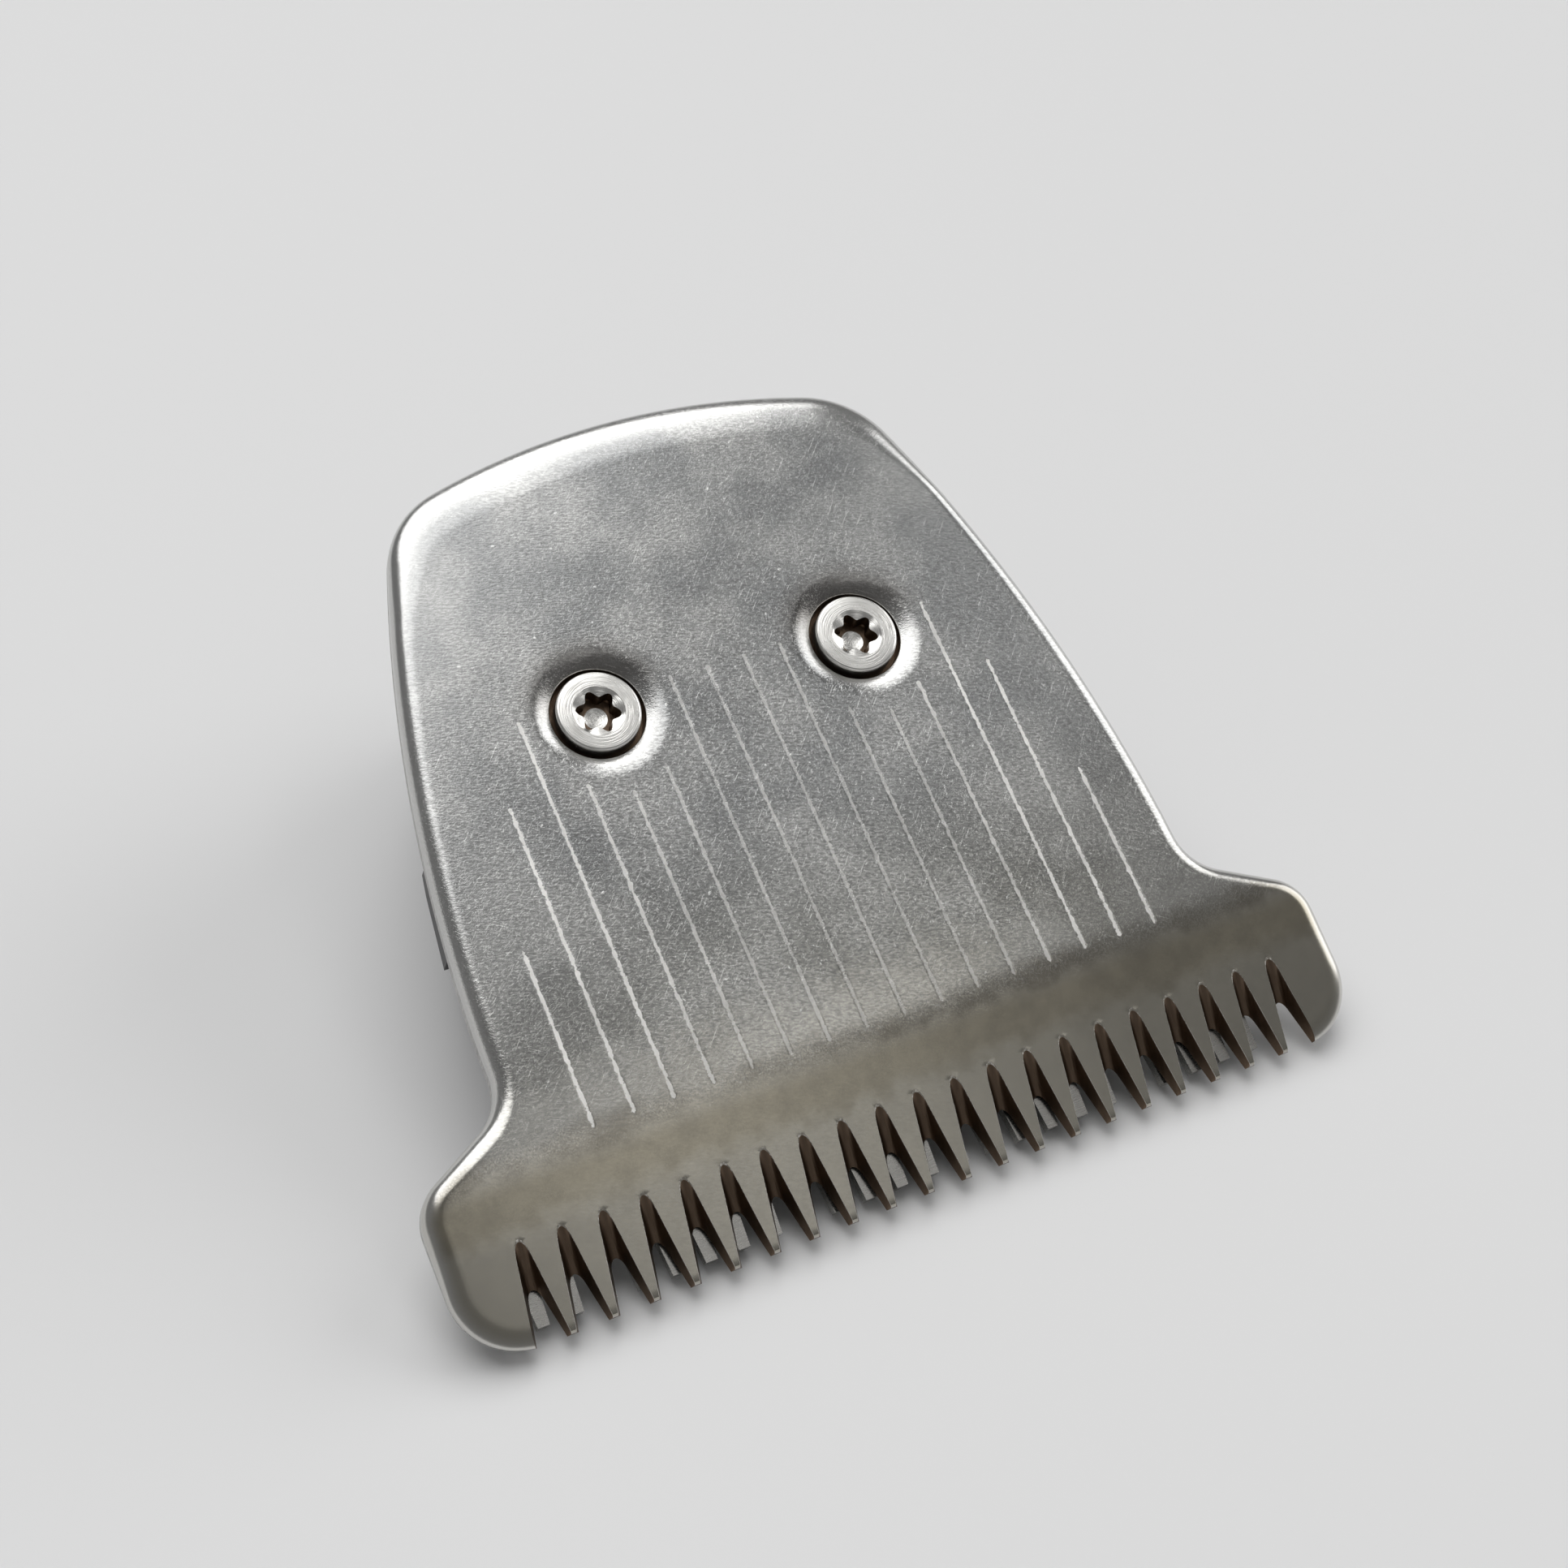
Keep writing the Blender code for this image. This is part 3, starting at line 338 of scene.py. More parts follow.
def face_drop(y):
    """Top face along y: level behind the bend, then the strip's slope, then the tooth facet's."""
    strip = STRIP_SLOPE * soft_below(y, BEND_SOFT)
    return strip + (TOOTH_SLOPE - STRIP_SLOPE) * soft_below(y - FACET_Y, FACET_SOFT)


def tip_roll(y):
    """Drop of a quarter circle that rounds the last stretch of each tooth."""
    past = np.clip((TIP_Y + TIP_ROLL - y) / TIP_ROLL, 0, 1)
    return -TIP_ROLL * (1 - np.sqrt(1 - past**2))


def line_cut(x, y):
    """V-shaped cut of the engraved lines: deepest in the middle of a line, nothing outside its run."""
    nearest = np.clip(np.floor(np.abs(x) / PITCH), 0, len(LINE_ENDS) - 1)
    off = np.abs(np.abs(x) - (nearest + 0.5) * PITCH)
    end = np.asarray(LINE_ENDS)[nearest.astype(int)]
    inside = np.clip(np.minimum(y, end - y) / LINE_WIDTH * 2, 0, 1)
    return -LINE_DEPTH * np.clip(1 - off / (LINE_WIDTH / 2), 0, 1) * inside


def above_foot(raw, y):
    """Height of a point of the flat blank once the plate is thinned towards the tips."""
    return -THICKNESS + (raw + THICKNESS) * (1 + face_drop(y) / THICKNESS)


# A slot's root: its height at the start, in the strip's surface, and its fall to the underside
SLOT_START_Z = float(face_drop(SLOT_START_Y))
SLOT_FALL = math.atan2(SLOT_START_Z + THICKNESS, SLOT_START_Y - SLOT_EXIT_Y)


def slot_half_width(height):
    """Half width of the round-rooted V at a height above its root, square to the root."""
    tangent = SLOT_ROOT * (1 - math.sin(SLOT_WALL))
    low = np.clip(height, 0, tangent)
    root = np.sqrt(np.maximum(SLOT_ROOT**2 - (SLOT_ROOT - low)**2, 0))
    return root + np.maximum(height - tangent, 0) * math.tan(SLOT_WALL)


def slot_height(half_width):
    """Height above the root where the V has a half width: circle first, straight wall after it."""
    touch = SLOT_ROOT * math.cos(SLOT_WALL)
    low = np.minimum(half_width, touch)
    wall = np.maximum(half_width - touch, 0) / math.tan(SLOT_WALL)
    return SLOT_ROOT - np.sqrt(SLOT_ROOT**2 - low**2) + wall


def above_root(y, z):
    """Height of a point above the slot's root line, square to that line."""
    return -(y - SLOT_START_Y) * math.sin(SLOT_FALL) + (z - SLOT_START_Z) * math.cos(SLOT_FALL)


def slot_floor(half_width, y):
    """Height of the ground slot's surface over a plan point."""
    square = slot_height(half_width) + (y - SLOT_START_Y) * math.sin(SLOT_FALL)
    return SLOT_START_Z + square / math.cos(SLOT_FALL)


def slot_edge_x(y, lift):
    """Half width of the slot where it cuts the top face raised by lift."""
    return slot_half_width(above_root(y, face_drop(y) + lift))


def slot_stations(start, end):
    """Stations from a slot's start to its exit through the underside and on to its end.

    They go with the square of the step, so that the round start and exit get the closest ones.
    """
    share = np.linspace(0, 1, SLOT_ROWS)**2
    above = start + (SLOT_EXIT_Y - start) * share
    through = SLOT_EXIT_Y + (end - SLOT_EXIT_Y) * share[1:]
    return np.concatenate([above, through])


def edge_start(lift):
    """Station where the slot's edge begins when the top face is raised by lift."""
    return SLOT_START_Y + lift / (math.tan(SLOT_FALL) - TOOTH_SLOPE)


# Meshes

def grid_faces(rows, columns, around=False):
    """Quads of a grid of points stored row by row; around joins the last column to the first."""
    row = np.arange(rows - 1)[:, None] * columns
    column = np.arange(columns if around else columns - 1)[None]
    ahead = (column + 1) % columns
    corners = [row + column, row + ahead, row + columns + ahead, row + columns + column]
    return np.stack(corners, 2).reshape(-1, 4)


class Skin:
    """Surfaces collected for one piece: points in the blade frame, faces and a material per face."""

    def __init__(self):
        self.points = []
        self.faces = []
        self.slots = []
        self.count = 0

    def add(self, points, faces, slot):
        """Adds points and faces, whose corners are counted on from the points before them."""
        points = np.asarray(points, float).reshape(-1, 3)
        self.points.append(points)
        self.faces += (np.asarray(faces) + self.count).tolist()
        self.slots.append(np.broadcast_to(slot, len(faces)).astype(np.int32))
        self.count += len(points)

    def grid(self, points, slot, around=False):
        """Adds a grid of points with shape (rows, columns, 3)."""
        self.add(points, grid_faces(points.shape[0], points.shape[1], around), slot)

    def mesh(self, name):
        """One welded mesh in the row frame, smooth but for its sharp edges."""
        mesh = bpy.data.meshes.new(name)
        points = np.concatenate(self.points)
        mesh.from_pydata(points.tolist(), [], self.faces)
        mesh.polygons.foreach_set("material_index", np.concatenate(self.slots))
        mesh.transform(BLADE)
        shape = bmesh.new()
        shape.from_mesh(mesh)
        bmesh.ops.remove_doubles(shape, verts=shape.verts, dist=WELD)
        bmesh.ops.recalc_face_normals(shape, faces=shape.faces)
        shape.to_mesh(mesh)
        shape.free()
        mesh.shade_smooth()
        mesh.set_sharp_from_angle(angle=SHARP_ANGLE)
        return mesh


def add_object(name, data):
    """New object in the scene, at the origin."""
    obj = bpy.data.objects.new(name, data)
    bpy.context.scene.collection.objects.link(obj)
    return obj


def add_piece(name, mesh, materials, body, nodes):
    """Shows a mesh as a piece that rides on a body and stands for CAD nodes."""
    obj = add_object(name, mesh)
    for material in materials:
        mesh.materials.append(material)
    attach(obj, body)
    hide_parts(*nodes)
    return obj


def inside_loop(points, loop):
    """True for each plan point inside a closed loop, by the parity of edges to its right."""
    x, y = points[:, 0, None], points[:, 1, None]
    ax, ay = loop[:, 0], loop[:, 1]
    bx, by = np.roll(ax, -1), np.roll(ay, -1)
    spans = (ay > y) != (by > y)
    rise = np.where(by == ay, 1, by - ay)
    return (spans & (x < ax + (y - ay) / rise * (bx - ax))).sum(1) % 2 == 1


def filled(outer, holes, runs=(), points=()):
    """Plan triangles inside an outer loop and outside the holes; open runs and points add corners."""
    loops = [outer, *holes]
    coords = np.concatenate([*loops, *runs, *points])
    edges = []
    start = 0
    for number, path in enumerate([*loops, *runs]):
        index = np.arange(len(path)) + start
        pairs = np.stack([index, np.roll(index, -1)], 1)
        edges.append(pairs if number < len(loops) else pairs[:-1])
        start += len(path)
    found = delaunay_2d_cdt([Vector(p) for p in coords], np.concatenate(edges).tolist(), [], 0, PLAN_WELD)
    plan = np.array([tuple(v) for v in found[0]])
    faces = np.array(found[2])
    middle = plan[faces].mean(1)
    keep = inside_loop(middle, outer)
    for hole in holes:
        keep &= ~inside_loop(middle, hole)
    return plan, faces[keep]


# Comb plate

# GROUND takes the dark ground finish, which paints shade into the slots, tooth ends and dimple walls
SATIN, CUT, GROUND, SHEARED, ROLLED = range(5)


def rim_width(y):
    """Width of the rounded rim: wide along the rear, narrower on the sides and round the ears."""
    rear = np.clip((y - REAR_Y) / RIM_BLEND + 1, 0, 1)
    return SIDE_RIM + rear**2 * (3 - 2 * rear) * (REAR_RIM - SIDE_RIM)


def quarter_ellipse(width, depth, steps):
    """Inset and drop of a quarter ellipse from its outer foot to its top, at evenly turning normals."""
    normal = np.linspace(0, math.pi / 2, steps + 1)[:, None]
    turn = np.arctan2(depth * np.sin(normal), width * np.cos(normal))
    return width * (1 - np.cos(turn)), -depth * (1 - np.sin(turn))


def rim_rings(outline):
    """Rings from the plate's foot over the sheared wall and the quarter-ellipse rim to the flat face.

    Both ends of every ring lie on the far walls of the outermost slots.
    """
    along = unit(np.gradient(outline, axis=0))
    inward = np.stack([-along[:, 1], along[:, 0]], 1)
    width = rim_width(outline[:, 1])
    inset, raw = quarter_ellipse(width, np.minimum(width, RIM_DEPTH), RIM_RINGS)
    foot_round = np.full_like(width, FOOT_ROUND)
    foot_round[[0, -1]] = 0
    level = np.zeros_like(width)
    inset = np.concatenate([[foot_round, level], inset, [width + RIM_MARGIN]])
    raw = np.concatenate([[level - THICKNESS, foot_round - THICKNESS], raw, [level]])
    plan = outline + inward * inset[..., None]
    rings = np.concatenate([plan, above_foot(raw, plan[..., 1])[..., None]], 2)
    reach = EAR_SLOT_X + slot_half_width(above_root(rings[:, [0, -1], 1], rings[:, [0, -1], 2]))
    rings[:, [0, -1], 0] = reach * (1, -1)
    return rings


def slot_centres():
    """Places of the slots along the teeth, one pitch apart and centred."""
    return (np.arange(SLOT_COUNT) - (SLOT_COUNT - 1) / 2) * PITCH


def tooth_edge(lift):
    """Half widths and stations of a slot's edge beside a tooth, from its point to the rolled tip."""
    y = slot_stations(edge_start(lift), TIP_Y + TIP_ROLL)
    y = np.concatenate([y, TIP_Y + TIP_ROLL * np.asarray(ROLL_STATIONS)])
    half = slot_edge_x(y, lift)
    half[0] = 0
    return np.stack([half, y], 1)


def ear_edge(lift, end):
    """Half widths and stations of a slot's edge beside an ear, from its point to the rim.

    The lift of the broken edge runs out at the rim.
    """
    y = slot_stations(edge_start(lift), end)
    half = slot_edge_x(y, lift * (y - end) / (y[0] - end))
    half[0] = 0
    return np.stack([half, y], 1)


def underside_edge(y):
    """Half widths and stations where a slot leaves through the underside, from its exit onwards."""
    y = y[y <= SLOT_EXIT_Y]
    return np.stack([slot_half_width(above_root(y, np.full_like(y, -THICKNESS))), y], 1)


def front_path(tooth, ear):
    """Plan path along the teeth from left to right: up one side of each slot and down the other.

    An edge is half widths and stations; the outermost slots have an ear on their far side.
    """
    parts = []
    for number, x in enumerate(slot_centres()):
        left = ear if number == 0 else tooth
        right = ear if number == SLOT_COUNT - 1 else tooth
        parts += [left[::-1] * (-1, 1) + (x, 0), right[1:] + (x, 0)]
    return np.concatenate(parts)


def screw_circles(radius):
    """Closed rings of plan points at one radius about both screws."""
    ring = radius * np.stack([np.cos(AROUND), np.sin(AROUND)], 1)
    return [ring + (x, SCREW_Y) for x in (-SCREW_X, SCREW_X)]


def line_runs():
    """Left edge, middle and right edge of every engraved line, meeting in a point at both ends."""
    runs = []
    for number, end in enumerate(LINE_ENDS):
        y = np.linspace(0, end, int(end / LINE_STEP) + 2)
        taper = np.clip(np.minimum(y, end - y) / LINE_WIDTH * 2, 0, 1) * LINE_WIDTH / 2
        y = np.insert(y, (1, len(y) - 1), (LINE_WIDTH / 2, end - LINE_WIDTH / 2))
        taper = np.insert(taper, (1, len(taper) - 1), LINE_WIDTH / 2)
        for side in (-1, 1):
            x = side * (number + 0.5) * PITCH
            runs += [np.stack([x + offset * taper, y], 1) for offset in (-1, 0, 1)]
    return runs


def bend_points(outer):
    """Rows of points along the bend and the facet line, kept off the plate's edges and slots."""
    bend = np.stack(np.meshgrid(np.arange(*ROW_SPAN, BEND_SPACING), BEND_ROWS), 2)
    facet = np.stack(np.meshgrid(np.arange(*ROW_SPAN, FACET_SPACING), FACET_Y + FACET_ROWS), 2)
    points = np.concatenate([bend.reshape(-1, 2), facet.reshape(-1, 2)])
    points = points[inside_loop(points, outer)]
    off_edge = np.linalg.norm(points[:, None] - outer[None], axis=2).min(1) > EDGE_CLEARANCE
    x, y = np.abs(points[:, 0]), points[:, 1]
    column = np.abs((x / PITCH) % 1 - 0.5) * PITCH
    off_lines = (column > LINE_WIDTH) | (y < -LINE_CLEARANCE) | (x > len(LINE_ENDS) * PITCH)
    return points[off_edge & off_lines]


def add_top(skin, ring):
    """Top face: plan triangles between the rim, the slots and the dimples, lifted to their height."""
    path = front_path(tooth_edge(EDGE_WIDEN), ear_edge(EDGE_WIDEN, ring[0, 1]))
    outer = np.concatenate([ring[:, :2], path[1:-1]])
    lip = DIMPLE_RADIUS + DIMPLE_LIP_WIDTH
    corners = [*screw_circles(lip + RIM_MARGIN), bend_points(outer)]
    plan, faces = filled(outer, screw_circles(lip), line_runs(), corners)
    x, y = plan.T
    height = face_drop(y) + tip_roll(y) + line_cut(x, y)
    skin.add(np.column_stack([plan, height]), faces, SATIN)


def slot_wall(top):
    """Wall of half a slot: rows across the ground V from its top edge to its root or the underside."""
    y = top[:, 1, None]
    under = np.zeros(len(top))
    exits = underside_edge(top[:, 1])
    under[-len(exits):] = exits[:, 0]
    share = np.linspace(0, 1, SLOT_COLUMNS)
    half = top[:, :1] * (1 - share) + under[:, None] * share
    floor = slot_floor(half, y)
    z = np.maximum(floor + (top[:, 2:] - floor[:, :1]) * (1 - share), -THICKNESS)
    return np.stack([half, np.broadcast_to(y, half.shape), z], 2)


def add_slots(skin, rings):
    """Both halves of every slot, and the teeth's blunt ends.

    Each half is a narrow broken edge and then the ground wall. Beside an ear the wall goes on down the
    rim's rings, and its last row takes the corners of the plate's foot, so that both meet there.
    """
    end = rings[-1, 0, 1]
    beside_tooth = (tooth_edge(EDGE_WIDEN), tooth_edge(-EDGE_DROP), [])
    beside_ear = (ear_edge(EDGE_WIDEN, end), ear_edge(-EDGE_DROP, end), rings[-2:1:-1, 0])
    sides = []
    for lip, wall, more in (beside_tooth, beside_ear):
        lip = np.column_stack([lip, face_drop(lip[:, 1]) + tip_roll(lip[:, 1])])
        wall = np.column_stack([wall, slot_floor(wall[:, 0], wall[:, 1]) + tip_roll(wall[:, 1])])
        broken = np.stack([lip, wall], 1)
        if len(more):
            wall = np.concatenate([wall, more - (EAR_SLOT_X, 0, 0)])
        sides.append((broken, slot_wall(wall)))
    foot = np.repeat((2, 1, 0), SLOT_COLUMNS // 3)
    sides[1][1][-1] = rings[foot, 0] - (EAR_SLOT_X, 0, 0)
    for number, x in enumerate(slot_centres()):
        for side in (-1, 1):
            broken, wall = sides[number == (0 if side < 0 else SLOT_COUNT - 1)]
            skin.grid(broken * (side, 1, 1) + (x, 0, 0), CUT)
            # The ground walls take the dark finish: painted shade inside the slots
            skin.grid(wall * (side, 1, 1) + (x, 0, 0), GROUND)
    broken, wall = sides[0]
    left = np.concatenate([broken[-1, :1], wall[-1]])
    right = left * (-1, 1, 1) + (PITCH, 0, 0)
    for x in slot_centres()[:-1]:
        # The teeth's blunt ends take the same dark finish: painted shade on faces turned down to the floor
        skin.grid(np.stack([left, right], 1) + (x, 0, 0), GROUND)


def add_underside(skin, rings):
    """Flat underside without the slots' exits and the round openings where the dimple cups join it."""
    ear = np.concatenate([ear_edge(-EDGE_DROP, rings[-1, 0, 1])[:, 1], rings[-2:1:-1, 0, 1]])
    path = front_path(underside_edge(tooth_edge(-EDGE_DROP)[:, 1]), underside_edge(ear))
    outer = np.concatenate([rings[0, :, :2], path[1:-1]])
    plan, faces = filled(outer, screw_circles(DIMPLE_CUP))
    skin.add(np.column_stack([plan, np.full(len(plan), -THICKNESS)]), faces[:, ::-1], ROLLED)


def turned(profile, centre, turn=0.0):
    """Rings round the vertical through centre, from a profile of (radius, z), turned by an angle.

    A radius is one number, or one for every angle.
    """
    radius = np.stack([np.broadcast_to(r, AROUND.shape) for r, _ in profile])
    z = np.broadcast_to([[z] for _, z in profile], radius.shape)
    x = centre[0] + radius * np.cos(AROUND + turn)
    y = centre[1] + radius * np.sin(AROUND + turn)
    return np.stack([x, y, z], 2)


def dimple_lip():
    """Lip from the flat face inwards: a wide round to the cone's slope, the cone and a small round."""
    wide = np.linspace(0, LIP_SLOPE, LIP_STEPS)
    close = np.linspace(LIP_SLOPE, math.pi / 2, LIP_EDGE_STEPS)
    outer = DIMPLE_RADIUS + DIMPLE_LIP_WIDTH - LIP_ROUND * np.sin(wide)
    inner = DIMPLE_RADIUS + LIP_EDGE * (1 - np.sin(close))
    drop = LIP_ROUND * (np.cos(wide) - 1)
    cone_foot = drop[-1] - (outer[-1] - inner[0]) * math.tan(LIP_SLOPE)
    edge = cone_foot + LIP_EDGE * (np.cos(close) - math.cos(LIP_SLOPE))
    return np.column_stack([np.concatenate([outer, inner]), np.concatenate([drop, edge])])


def add_dimples(skin):
    """Screw dimples: drawn-down lip, straight wall, seat, shank hole and cup."""
    lip = dimple_lip()
    rest = [(DIMPLE_RADIUS, -DIMPLE_DEPTH), (SHANK_HOLE, -DIMPLE_DEPTH), (SHANK_HOLE, DIMPLE_FOOT),
            (DIMPLE_CUP, DIMPLE_FOOT), (DIMPLE_CUP, -THICKNESS)]
    for x in (-SCREW_X, SCREW_X):
        skin.grid(turned(lip, (x, SCREW_Y)), SATIN, around=True)
        # Wall, seat, hole and cup take the dark ground finish, which paints shade into the dimple
        skin.grid(turned([lip[-1], *rest], (x, SCREW_Y)), GROUND, around=True)


def mark_lines_and_sheen(mesh):
    """Stores two values for each corner, and makes the edges of the engraved lines sharp.

    "line" is how deep the corner lies in an engraved line: 0 at the line's edges, 1 along its middle.
    "rim" is how far it lies below the top face, as a share of the sheen depth; it masks a painted sheen on
    the rim and the dimple lips. An edge with a cut face on one side only bounds a line.
    """
    points = np.empty(len(mesh.vertices) * 3)
    mesh.vertices.foreach_get("co", points)
    back = np.array(BLADE.inverted())
    x, y, z = back[:3, :3] @ points.reshape(-1, 3).T + back[:3, 3:]
    depth = np.where(z > -THICKNESS / 2, -line_cut(x, y) / LINE_DEPTH, 0)
    rim = np.clip((face_drop(y) - LINE_DEPTH - z) / SHEEN_DEPTH, 0, 1)
    mesh.attributes.new("line", "FLOAT", "POINT").data.foreach_set("value", depth)
    mesh.attributes.new("rim", "FLOAT", "POINT").data.foreach_set("value", rim)
    corner, edge = np.empty((2, len(mesh.loops)), np.int32)
    mesh.loops.foreach_get("vertex_index", corner)
    mesh.loops.foreach_get("edge_index", edge)
    first = np.empty(len(mesh.polygons), np.int32)
    mesh.polygons.foreach_get("loop_start", first)
    is_cut = np.maximum.reduceat(depth[corner], first) > LINE_TRACE
    cut_sides = np.bincount(edge, np.repeat(is_cut, np.diff(first, append=len(corner))), len(mesh.edges))
    sharp = np.empty(len(mesh.edges), bool)
    mesh.edges.foreach_get("use_edge_sharp", sharp)
    mesh.edges.foreach_set("use_edge_sharp", sharp | (cut_sides == 1))


def make_plate(materials):
    """The comb plate, from its rim inwards: wall and rim, top, slots, underside and dimples."""
    skin = Skin()
    rings = rim_rings(plate_outline())
    skin.grid(rings[:3], SHEARED)
    skin.grid(rings[2:], SATIN)
    add_top(skin, rings[-1])
    add_slots(skin, rings)
    add_underside(skin, rings)
    add_dimples(skin)
    mesh = skin.mesh("comb_plate")
    mark_lines_and_sheen(mesh)
    plate = add_piece("comb_plate", mesh, materials, "head", ["guard_blade"])
    plate.modifiers.new("Flat faces", "WEIGHTED_NORMAL").keep_sharp = True


# Turned and wound pieces

def screw_profile():
    """Profile of a screw from the recess centre outwards, in three parts: point, recess and the rest.

    The recess is a circle whose radius swells six times in a turn. Its floor is a shallow cone, a
    conical chamfer leads into it, and all further in or out is round.
    """
    lobe = RECESS_RADIUS * (1 - RECESS_SWELL + RECESS_SWELL * np.cos(LOBES * AROUND))
    top = SCREW_SEAT + SCREW_HEAD_HEIGHT
    floor = top - RECESS_DEPTH
    tip = SCREW_SEAT - SCREW_LENGTH
    foot_round = SCREW_EDGE / 3
    inset, drop = quarter_ellipse(SCREW_EDGE, SCREW_EDGE, HEAD_EDGE_STEPS)
    point = (RECESS_POINT, floor)
    mouth = (lobe, top - RECESS_BEVEL)
    wall = [point, (RECESS_FLOOR_SHARE * lobe, floor), (lobe, floor + RECESS_FOOT), mouth]
    head = [mouth, (RECESS_CHAMFER, top), (RECESS_CHAMFER + CHAMFER_LAND, top)]
    head += [(SCREW_HEAD - i, top + d) for i, d in zip(inset[::-1, 0], drop[::-1, 0])]
    head += [(SCREW_HEAD, SCREW_SEAT + foot_round), (SCREW_HEAD - foot_round, SCREW_SEAT)]
    shank = [(SCREW_SHANK, SCREW_SEAT), (SCREW_SHANK, tip + SCREW_SHANK), (SCREW_SHANK / 2, tip), (0, tip)]
    return [(0, floor - RECESS_CONE), point], wall, head + shank


def make_screw(side, x, materials):
    """A screw: bright point of the recess, its floor and wall dark with painted shade, then chamfer, head
    and shank.
    """
    skin = Skin()
    for slot, profile in zip((0, 1, 0), screw_profile()):
        skin.grid(turned(profile, (x, SCREW_Y), SCREW_TURN[side]), slot, around=True)
    node = f"blade_screw_{side}"
    add_piece(f"pan_screw_{side}", skin.mesh(node), materials, "head", [node])


def add_round(name, rows, material, body, node):
    """A piece of one material from one grid whose rows run round it."""
    skin = Skin()
    skin.grid(rows, 0, around=True)
    add_piece(name, skin.mesh(name), [material], body, [node])


def make_rivet(side, x, material):
    """Rivet as a turned profile with a domed head under the carrier."""
    dome = [(RIVET_HEAD * math.cos(a), RIVET_SEAT - (RIVET_SEAT - RIVET_FOOT) * math.sin(a))
            for a in np.linspace(0, math.pi / 2, DOME_STEPS)]
    profile = [(0, RIVET_TOP), (RIVET_RADIUS, RIVET_TOP), (RIVET_RADIUS, RIVET_SEAT), *dome]
    rows = turned(profile, (x + CUTTER_PARK_X, RIVET_Y))
    add_round(f"rivet_{side}", rows, material, "cutter", f"cutter_rivet_{side}")


def make_pin(material):
    """Spring pin: a turned rod with chamfered ends, laid along X."""
    ends = [(0, -PIN_HALF_LENGTH), (PIN_RADIUS - PIN_CHAMFER, -PIN_HALF_LENGTH),
            (PIN_RADIUS, -PIN_HALF_LENGTH + PIN_CHAMFER)]
    profile = ends + [(r, -z) for r, z in reversed(ends)]
    rod = turned(profile, (0, 0))[..., [2, 0, 1]] + (0, COIL_Y, COIL_Z)
    add_round("pin", rod, material, "head", "spring_pin")


def spring_line():
    """Centre line of the spring: toe, straight leg, helix, bent tail across the rear, mirrored in x."""
    turn = np.linspace(0, COIL_TURNS, COIL_TURNS * COIL_STEPS + 1)
    helix = np.stack([-SPRING_LEG_X + turn * COIL_PITCH, COIL_Y + COIL_RADIUS * np.sin(turn * math.tau),
                      COIL_Z + COIL_RADIUS * np.cos(turn * math.tau)], 1)
    toe = np.array([[-SPRING_LEG_X, *SPRING_TOE]])
    inner = -SPRING_LEG_X + COIL_TURNS * COIL_PITCH
    bend = arc((inner + SPRING_TAIL_BEND, SPRING_TAIL[0] - SPRING_TAIL_BEND), SPRING_TAIL_BEND,
               math.pi, math.pi / 2, SPRING_TAIL_STEP)
    tail = np.column_stack([bend, np.full(len(bend), SPRING_TAIL[1])])
    half = np.concatenate([toe, helix, tail])
    return np.concatenate([half, half[::-1] * (-1, 1, 1)])


def make_spring(material):
    """Wire: a circle carried along the spring's centre line, square to it, with closed ends.

    The circle's first axis is square to the line and to X, or to Z where the line runs close to X.
    """
    line = spring_line()
    ahead = unit(np.gradient(line, axis=0))
    across = np.cross(ahead, (1.0, 0.0, 0.0))
    near_x = np.linalg.norm(across, axis=1) < ALONG_X_LIMIT
    across[near_x] = np.cross(ahead[near_x], (0.0, 0.0, 1.0))
    across = unit(across)
    up = np.cross(across, ahead)
    angle = np.arange(WIRE_SIDES)[:, None] / WIRE_SIDES * math.tau
    ring = across[:, None] * np.cos(angle) + up[:, None] * np.sin(angle)
    tube = line[:, None] + ring * WIRE_RADIUS
    ends = np.broadcast_to(line[[0, -1], None], tube[:2].shape)
    tube = np.concatenate([ends[:1], tube, ends[1:]])
    add_round("torsion_spring", tube, material, "head", "pressure_spring")


# Materials

class Value:
    """A shader socket whose arithmetic adds Math nodes to its material."""

    def __init__(self, tree, socket):
        self.tree = tree
        self.socket = socket

    def math(self, operation, *values):
        """One Math node on values or numbers."""
        return add_node(self.tree, "ShaderNodeMath", dict(enumerate(values)), operation=operation)

    def __add__(self, other):
        return self.math("ADD", self, other)

    def __sub__(self, other):
        return self.math("SUBTRACT", self, other)

    def __rsub__(self, other):
        return self.math("SUBTRACT", other, self)

    def __mul__(self, other):
        return self.math("MULTIPLY", self, other)

    def __pow__(self, other):
        return self.math("POWER", self, other)

    def __abs__(self):
        return self.math("ABSOLUTE", self)

    __radd__ = __add__
    __rmul__ = __mul__


def add_node(tree, kind, inputs=None, output=0, **settings):
    """One node: its settings first, then values or links by socket name or number; returns an output."""
    node = tree.nodes.new(kind)
    for name, value in settings.items():
        setattr(node, name, value)
    for name, value in (inputs or {}).items():
        if isinstance(value, Value):
            tree.links.new(value.socket, node.inputs[name])
        else:
            node.inputs[name].default_value = value
    return Value(tree, node.outputs[output])


